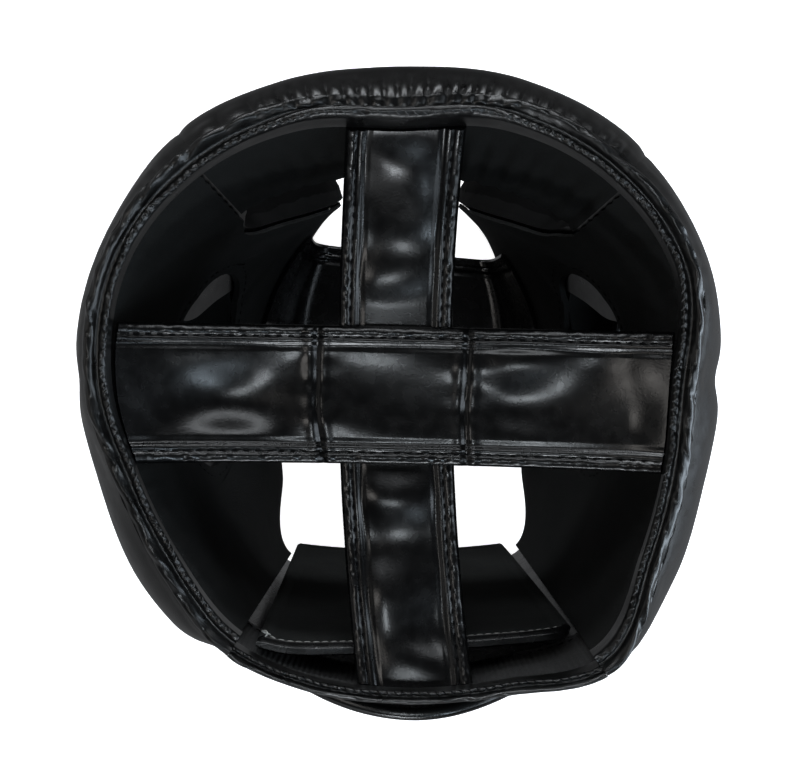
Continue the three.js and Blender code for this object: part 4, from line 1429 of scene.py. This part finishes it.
def thread_tail(start, lift):
    """A loose end of thread that curls up from a seam."""
    t = np.linspace(0, 1, 16)[:, None]
    line = start + lift * (0.4 + 3.0 * np.sin(2.4 * t)) + np.array([3.5, 1.5, 5.0]) * t
    line = line + np.array([2.0, 0, 0]) * np.sin(5 * t)
    angles = 2 * np.pi * np.arange(STITCH_SIDES) / STITCH_SIDES
    circle = np.stack([np.cos(angles), np.sin(angles), 0 * angles], -1) * 0.28
    points = (line[:, None] + circle[None]).reshape(-1, 3)
    walls, _, last = tube(len(line), STITCH_SIDES)
    return points, np.concatenate([walls, HALF_CAPS[:, ::-1], HALF_CAPS + last[0]])


def back_flap():
    """The outer flap of the closure, with an arched top and hems on three edges."""
    rows, columns = towards_edges(100), towards_edges(100)
    v, u = rows[:, None], columns[None, :]
    around = lerp(*BACK_SPAN, u) + 0 * v
    crest = FLAP_TOP - FLAP_ARCH * (2 * u - 1) ** 2
    height = v * crest
    aside = np.minimum(np.abs(around - FLAP_BOW_MIDDLE) / FLAP_BOW_HALF, 1)
    bow = FLAP_BOW_DEPTH * v * v * (1 - aside * aside) ** 2
    to_side = np.minimum(u, 1 - u) * FLAP_RUN
    to_top = crest - height
    edge = np.minimum(np.minimum(to_side, to_top), height + 2.0)
    spots = shell(around, height, FLAP_STANDOFF + bow)
    rounding = quarter_round(edge + 0.25, 2.0)
    hem = curve(HEM_DISTANCE, HEM_RISE, edge)
    sway = (0.7 * noise(spots, 38, 81) + 0.25 * noise(spots, 15, 82)) * smoothstep(edge, 5, 14)
    inner = shell(around, height, FLAP_STANDOFF + bow + FLAP / 2 * (1 - rounding))
    outer = shell(around, height, FLAP_STANDOFF + bow + FLAP / 2 * (1 + rounding) + hem + sway)
    build = Build("back_flap_leather", STRAP_LEATHER, DARK_THREAD)
    build.add_body(inner, outer)
    outward = face_normals(outer)
    row = closest(to_top[:, columns.size // 2], HEM_STITCH)
    add_stitches(build, outer[row, 8:-8], outward[row, 8:-8], 1, seed=83)
    for place in (HEM_STITCH, FLAP_RUN - HEM_STITCH):
        column = closest(columns * FLAP_RUN, place)
        add_stitches(build, outer[8:-8, column], outward[8:-8, column], 1, seed=84)
    piece = build.finish("back_flap")


# Chin strap


def chin_strap(side, lift, name, node, seed):
    """One half of the chin strap, from its cheek down and along the floor to past the middle."""
    low = CHIN_FLOOR + lift
    heights = np.array([CHIN_TOP, 24, 14, 7, 3 + lift * 0.5, low, low, low, low])
    shares = np.array([1, 1, 0.99, 0.95, 0.86, 0.72, 0.36, 0, -CHIN_OVERLAP / CHIN_HALF_RUN])
    keys = np.arange(len(heights))
    at = np.linspace(0, len(heights) - 1, 80)
    height, share = curve(keys, heights, at), curve(keys, shares, at)
    height = np.maximum(height, CHIN_LOWEST + lift)
    width = CHIN_BACK - CHIN_FRONT
    places = strap_places(width)
    lengthwise = (CHIN_FRONT + CHIN_BACK) / 2 + places[None, :] - side * share[:, None] * CHIN_SKEW
    sewn = np.maximum(height, HEM_LEVEL)[:, None] + 0 * lengthwise
    wall = reach((side, 0), side * lengthwise, sewn) - STRAP / 2 - STRAP_CLEARANCE
    middle = np.stack([side * wall * share[:, None], lengthwise, height[:, None] + 0 * lengthwise], -1)
    run = strap_run(middle)
    edge = width / 2 - np.abs(places)
    flat = smoothstep(edge, 6.9, 11)[None, :]
    waves = np.minimum(0.3 * noise(strap_spots(run, places), 26, seed), 0) * flat
    half = (STRAP / 2 - 0.25) * quarter_round(edge + 0.12, 1.3)
    hem = np.minimum(curve(HEM_DISTANCE, HEM_RISE, edge) - 0.45, 0.12)[None, :]
    up = normals(middle)
    up = up * np.where(up[-1:, places.size // 2 : places.size // 2 + 1, 2:3] < 0, -1, 1)
    over = middle + up * (half[None, :] + hem + waves)[..., None]
    under = middle - up * half[None, :, None]
    build = Build(name, STRAP_LEATHER, DARK_THREAD)
    add_strap(build, under, over, up, places, width, seed + 1)
    piece = build.finish(node)


# The pieces

forehead_pad()
side_pad(SEAM_LEFT, BACK_LEFT, "side_padding_left", "side_pad_left", 101)
side_pad(SEAM_RIGHT, BACK_RIGHT, "side_padding_right", "side_pad_right", 131)
forehead_lining()
side_lining(SEAM_LEFT, BACK_LEFT, "side_lining_left_cloth", "side_lining_left", 201)
side_lining(SEAM_RIGHT, BACK_RIGHT, "side_lining_right_cloth", "side_lining_right", 231)
forehead_span = (SEAM_RIGHT, SEAM_LEFT - SEAM_GAP)
left_span = (SEAM_LEFT, LAP_LEFT)
right_span = (SEAM_RIGHT - SEAM_GAP, LAP_RIGHT)
back_span = (LAP_LEFT + LAP_GAP, 360 + LAP_RIGHT - LAP_GAP)
rim_binding("forehead_binding", "forehead_rim_binding", "forehead_pad", *forehead_span, 301, stitch=2)
rim_binding("side_binding_left", "side_rim_binding_left", "side_pad_left", *left_span, 311, stitch=2)
rim_binding("side_binding_right", "side_rim_binding_right", "side_pad_right", *right_span, 321, stitch=2)
rim_binding("back_binding", "back_rim_binding", "back_band", *back_span, 331, BAND_RIM, PAD_INNER)
long_strap()
cross_strap()
back_band()
closure_tab()
back_flap()
chin_strap(1, 0.0, "chin_strap_left_leather", "chin_strap_left", 91)
chin_strap(-1, STRAP + GAP, "chin_strap_right_leather", "chin_strap_right", 95)


# Floor, light and camera


def floor():
    """A pale bowl under and round the guard, which glossy and diffuse rays pass through."""
    nodes = Nodes("pale_floor")
    paper = nodes.speckle(nodes.places(), 30.0, 4.0)
    nodes.shade(
        Base_Color=nodes.ramp(paper, (0.0, (0.90,) * 3), (1.0, (0.96,) * 3)),
        Roughness=0.9,
        Emission_Color=(1, 1, 1, 1),
        Emission_Strength=0.95,
    )
    turns = 64
    angles = 2 * np.pi * np.arange(turns) / turns
    profile = ((0.6, 0.0), (2.2, 0.0), (2.7, 0.12), (3.0, 0.45), (3.1, 1.0), (3.1, 3.4))
    points = [(r * math.cos(a), r * math.sin(a), z) for r, z in profile for a in angles]
    loops = [k * turns + np.arange(turns) for k in range(len(profile))]
    faces = [list(range(turns))]
    for first, second in zip(loops, loops[1:]):
        faces += ring_faces(second, first).tolist()
    mesh = bpy.data.meshes.new("floor")
    mesh.from_pydata(points, [], faces)
    mesh.polygons.foreach_set("use_smooth", np.ones(len(faces), bool))
    mesh.materials.append(nodes.material)
    sheet = bpy.data.objects.new("floor", mesh)
    sheet.location = (0, 0, -0.0006)
    sheet.visible_glossy = False
    sheet.visible_diffuse = False
    bpy.context.scene.collection.objects.link(sheet)


def area_light(name, place, target, size, power, colour):
    """A rectangle of light at a place, turned to a target."""
    lamp = bpy.data.lights.new(name, "AREA")
    lamp.shape = "RECTANGLE"
    lamp.size, lamp.size_y = size
    lamp.energy = power
    lamp.color = colour
    light = bpy.data.objects.new(name, lamp)
    light.location = place
    light.rotation_mode = "QUATERNION"
    light.rotation_quaternion = (Vector(target) - Vector(place)).to_track_quat("-Z", "Y")
    bpy.context.scene.collection.objects.link(light)


def studio():
    """A dark room with a dim glow from below the horizon, least in front, as a pale table gives it."""
    nodes = Nodes("studio", bpy.data.worlds.new("studio"))
    parts = nodes.add("ShaderNodeSeparateXYZ", Vector=nodes.places("Generated")).outputs
    below = nodes.levels(parts["Z"], 0.06, -0.16, 0.0, 1.0)
    beside = nodes.levels(parts["Y"], -0.8, -0.2, GLOW_IN_FRONT, GLOW)
    nodes.shade(Strength=nodes.multiply_add(below, beside, ROOM_LIGHT), Color=(0.95, 0.97, 1.0, 1))
    bpy.context.scene.world = nodes.material


floor()
for row in LIGHTS:
    area_light(*row)
studio()
bpy.context.scene.view_settings.view_transform = "Standard"

lens = bpy.data.cameras.new("camera")
lens.lens = CAMERA_LENS
lens.sensor_width = CAMERA_SENSOR
camera = bpy.data.objects.new("camera", lens)
camera.location = (AXIS[0] * MM, AXIS[1] * MM, CAMERA_HEIGHT * MM)
camera.rotation_euler = (0, 0, math.pi)
bpy.context.scene.collection.objects.link(camera)
bpy.context.scene.camera = camera
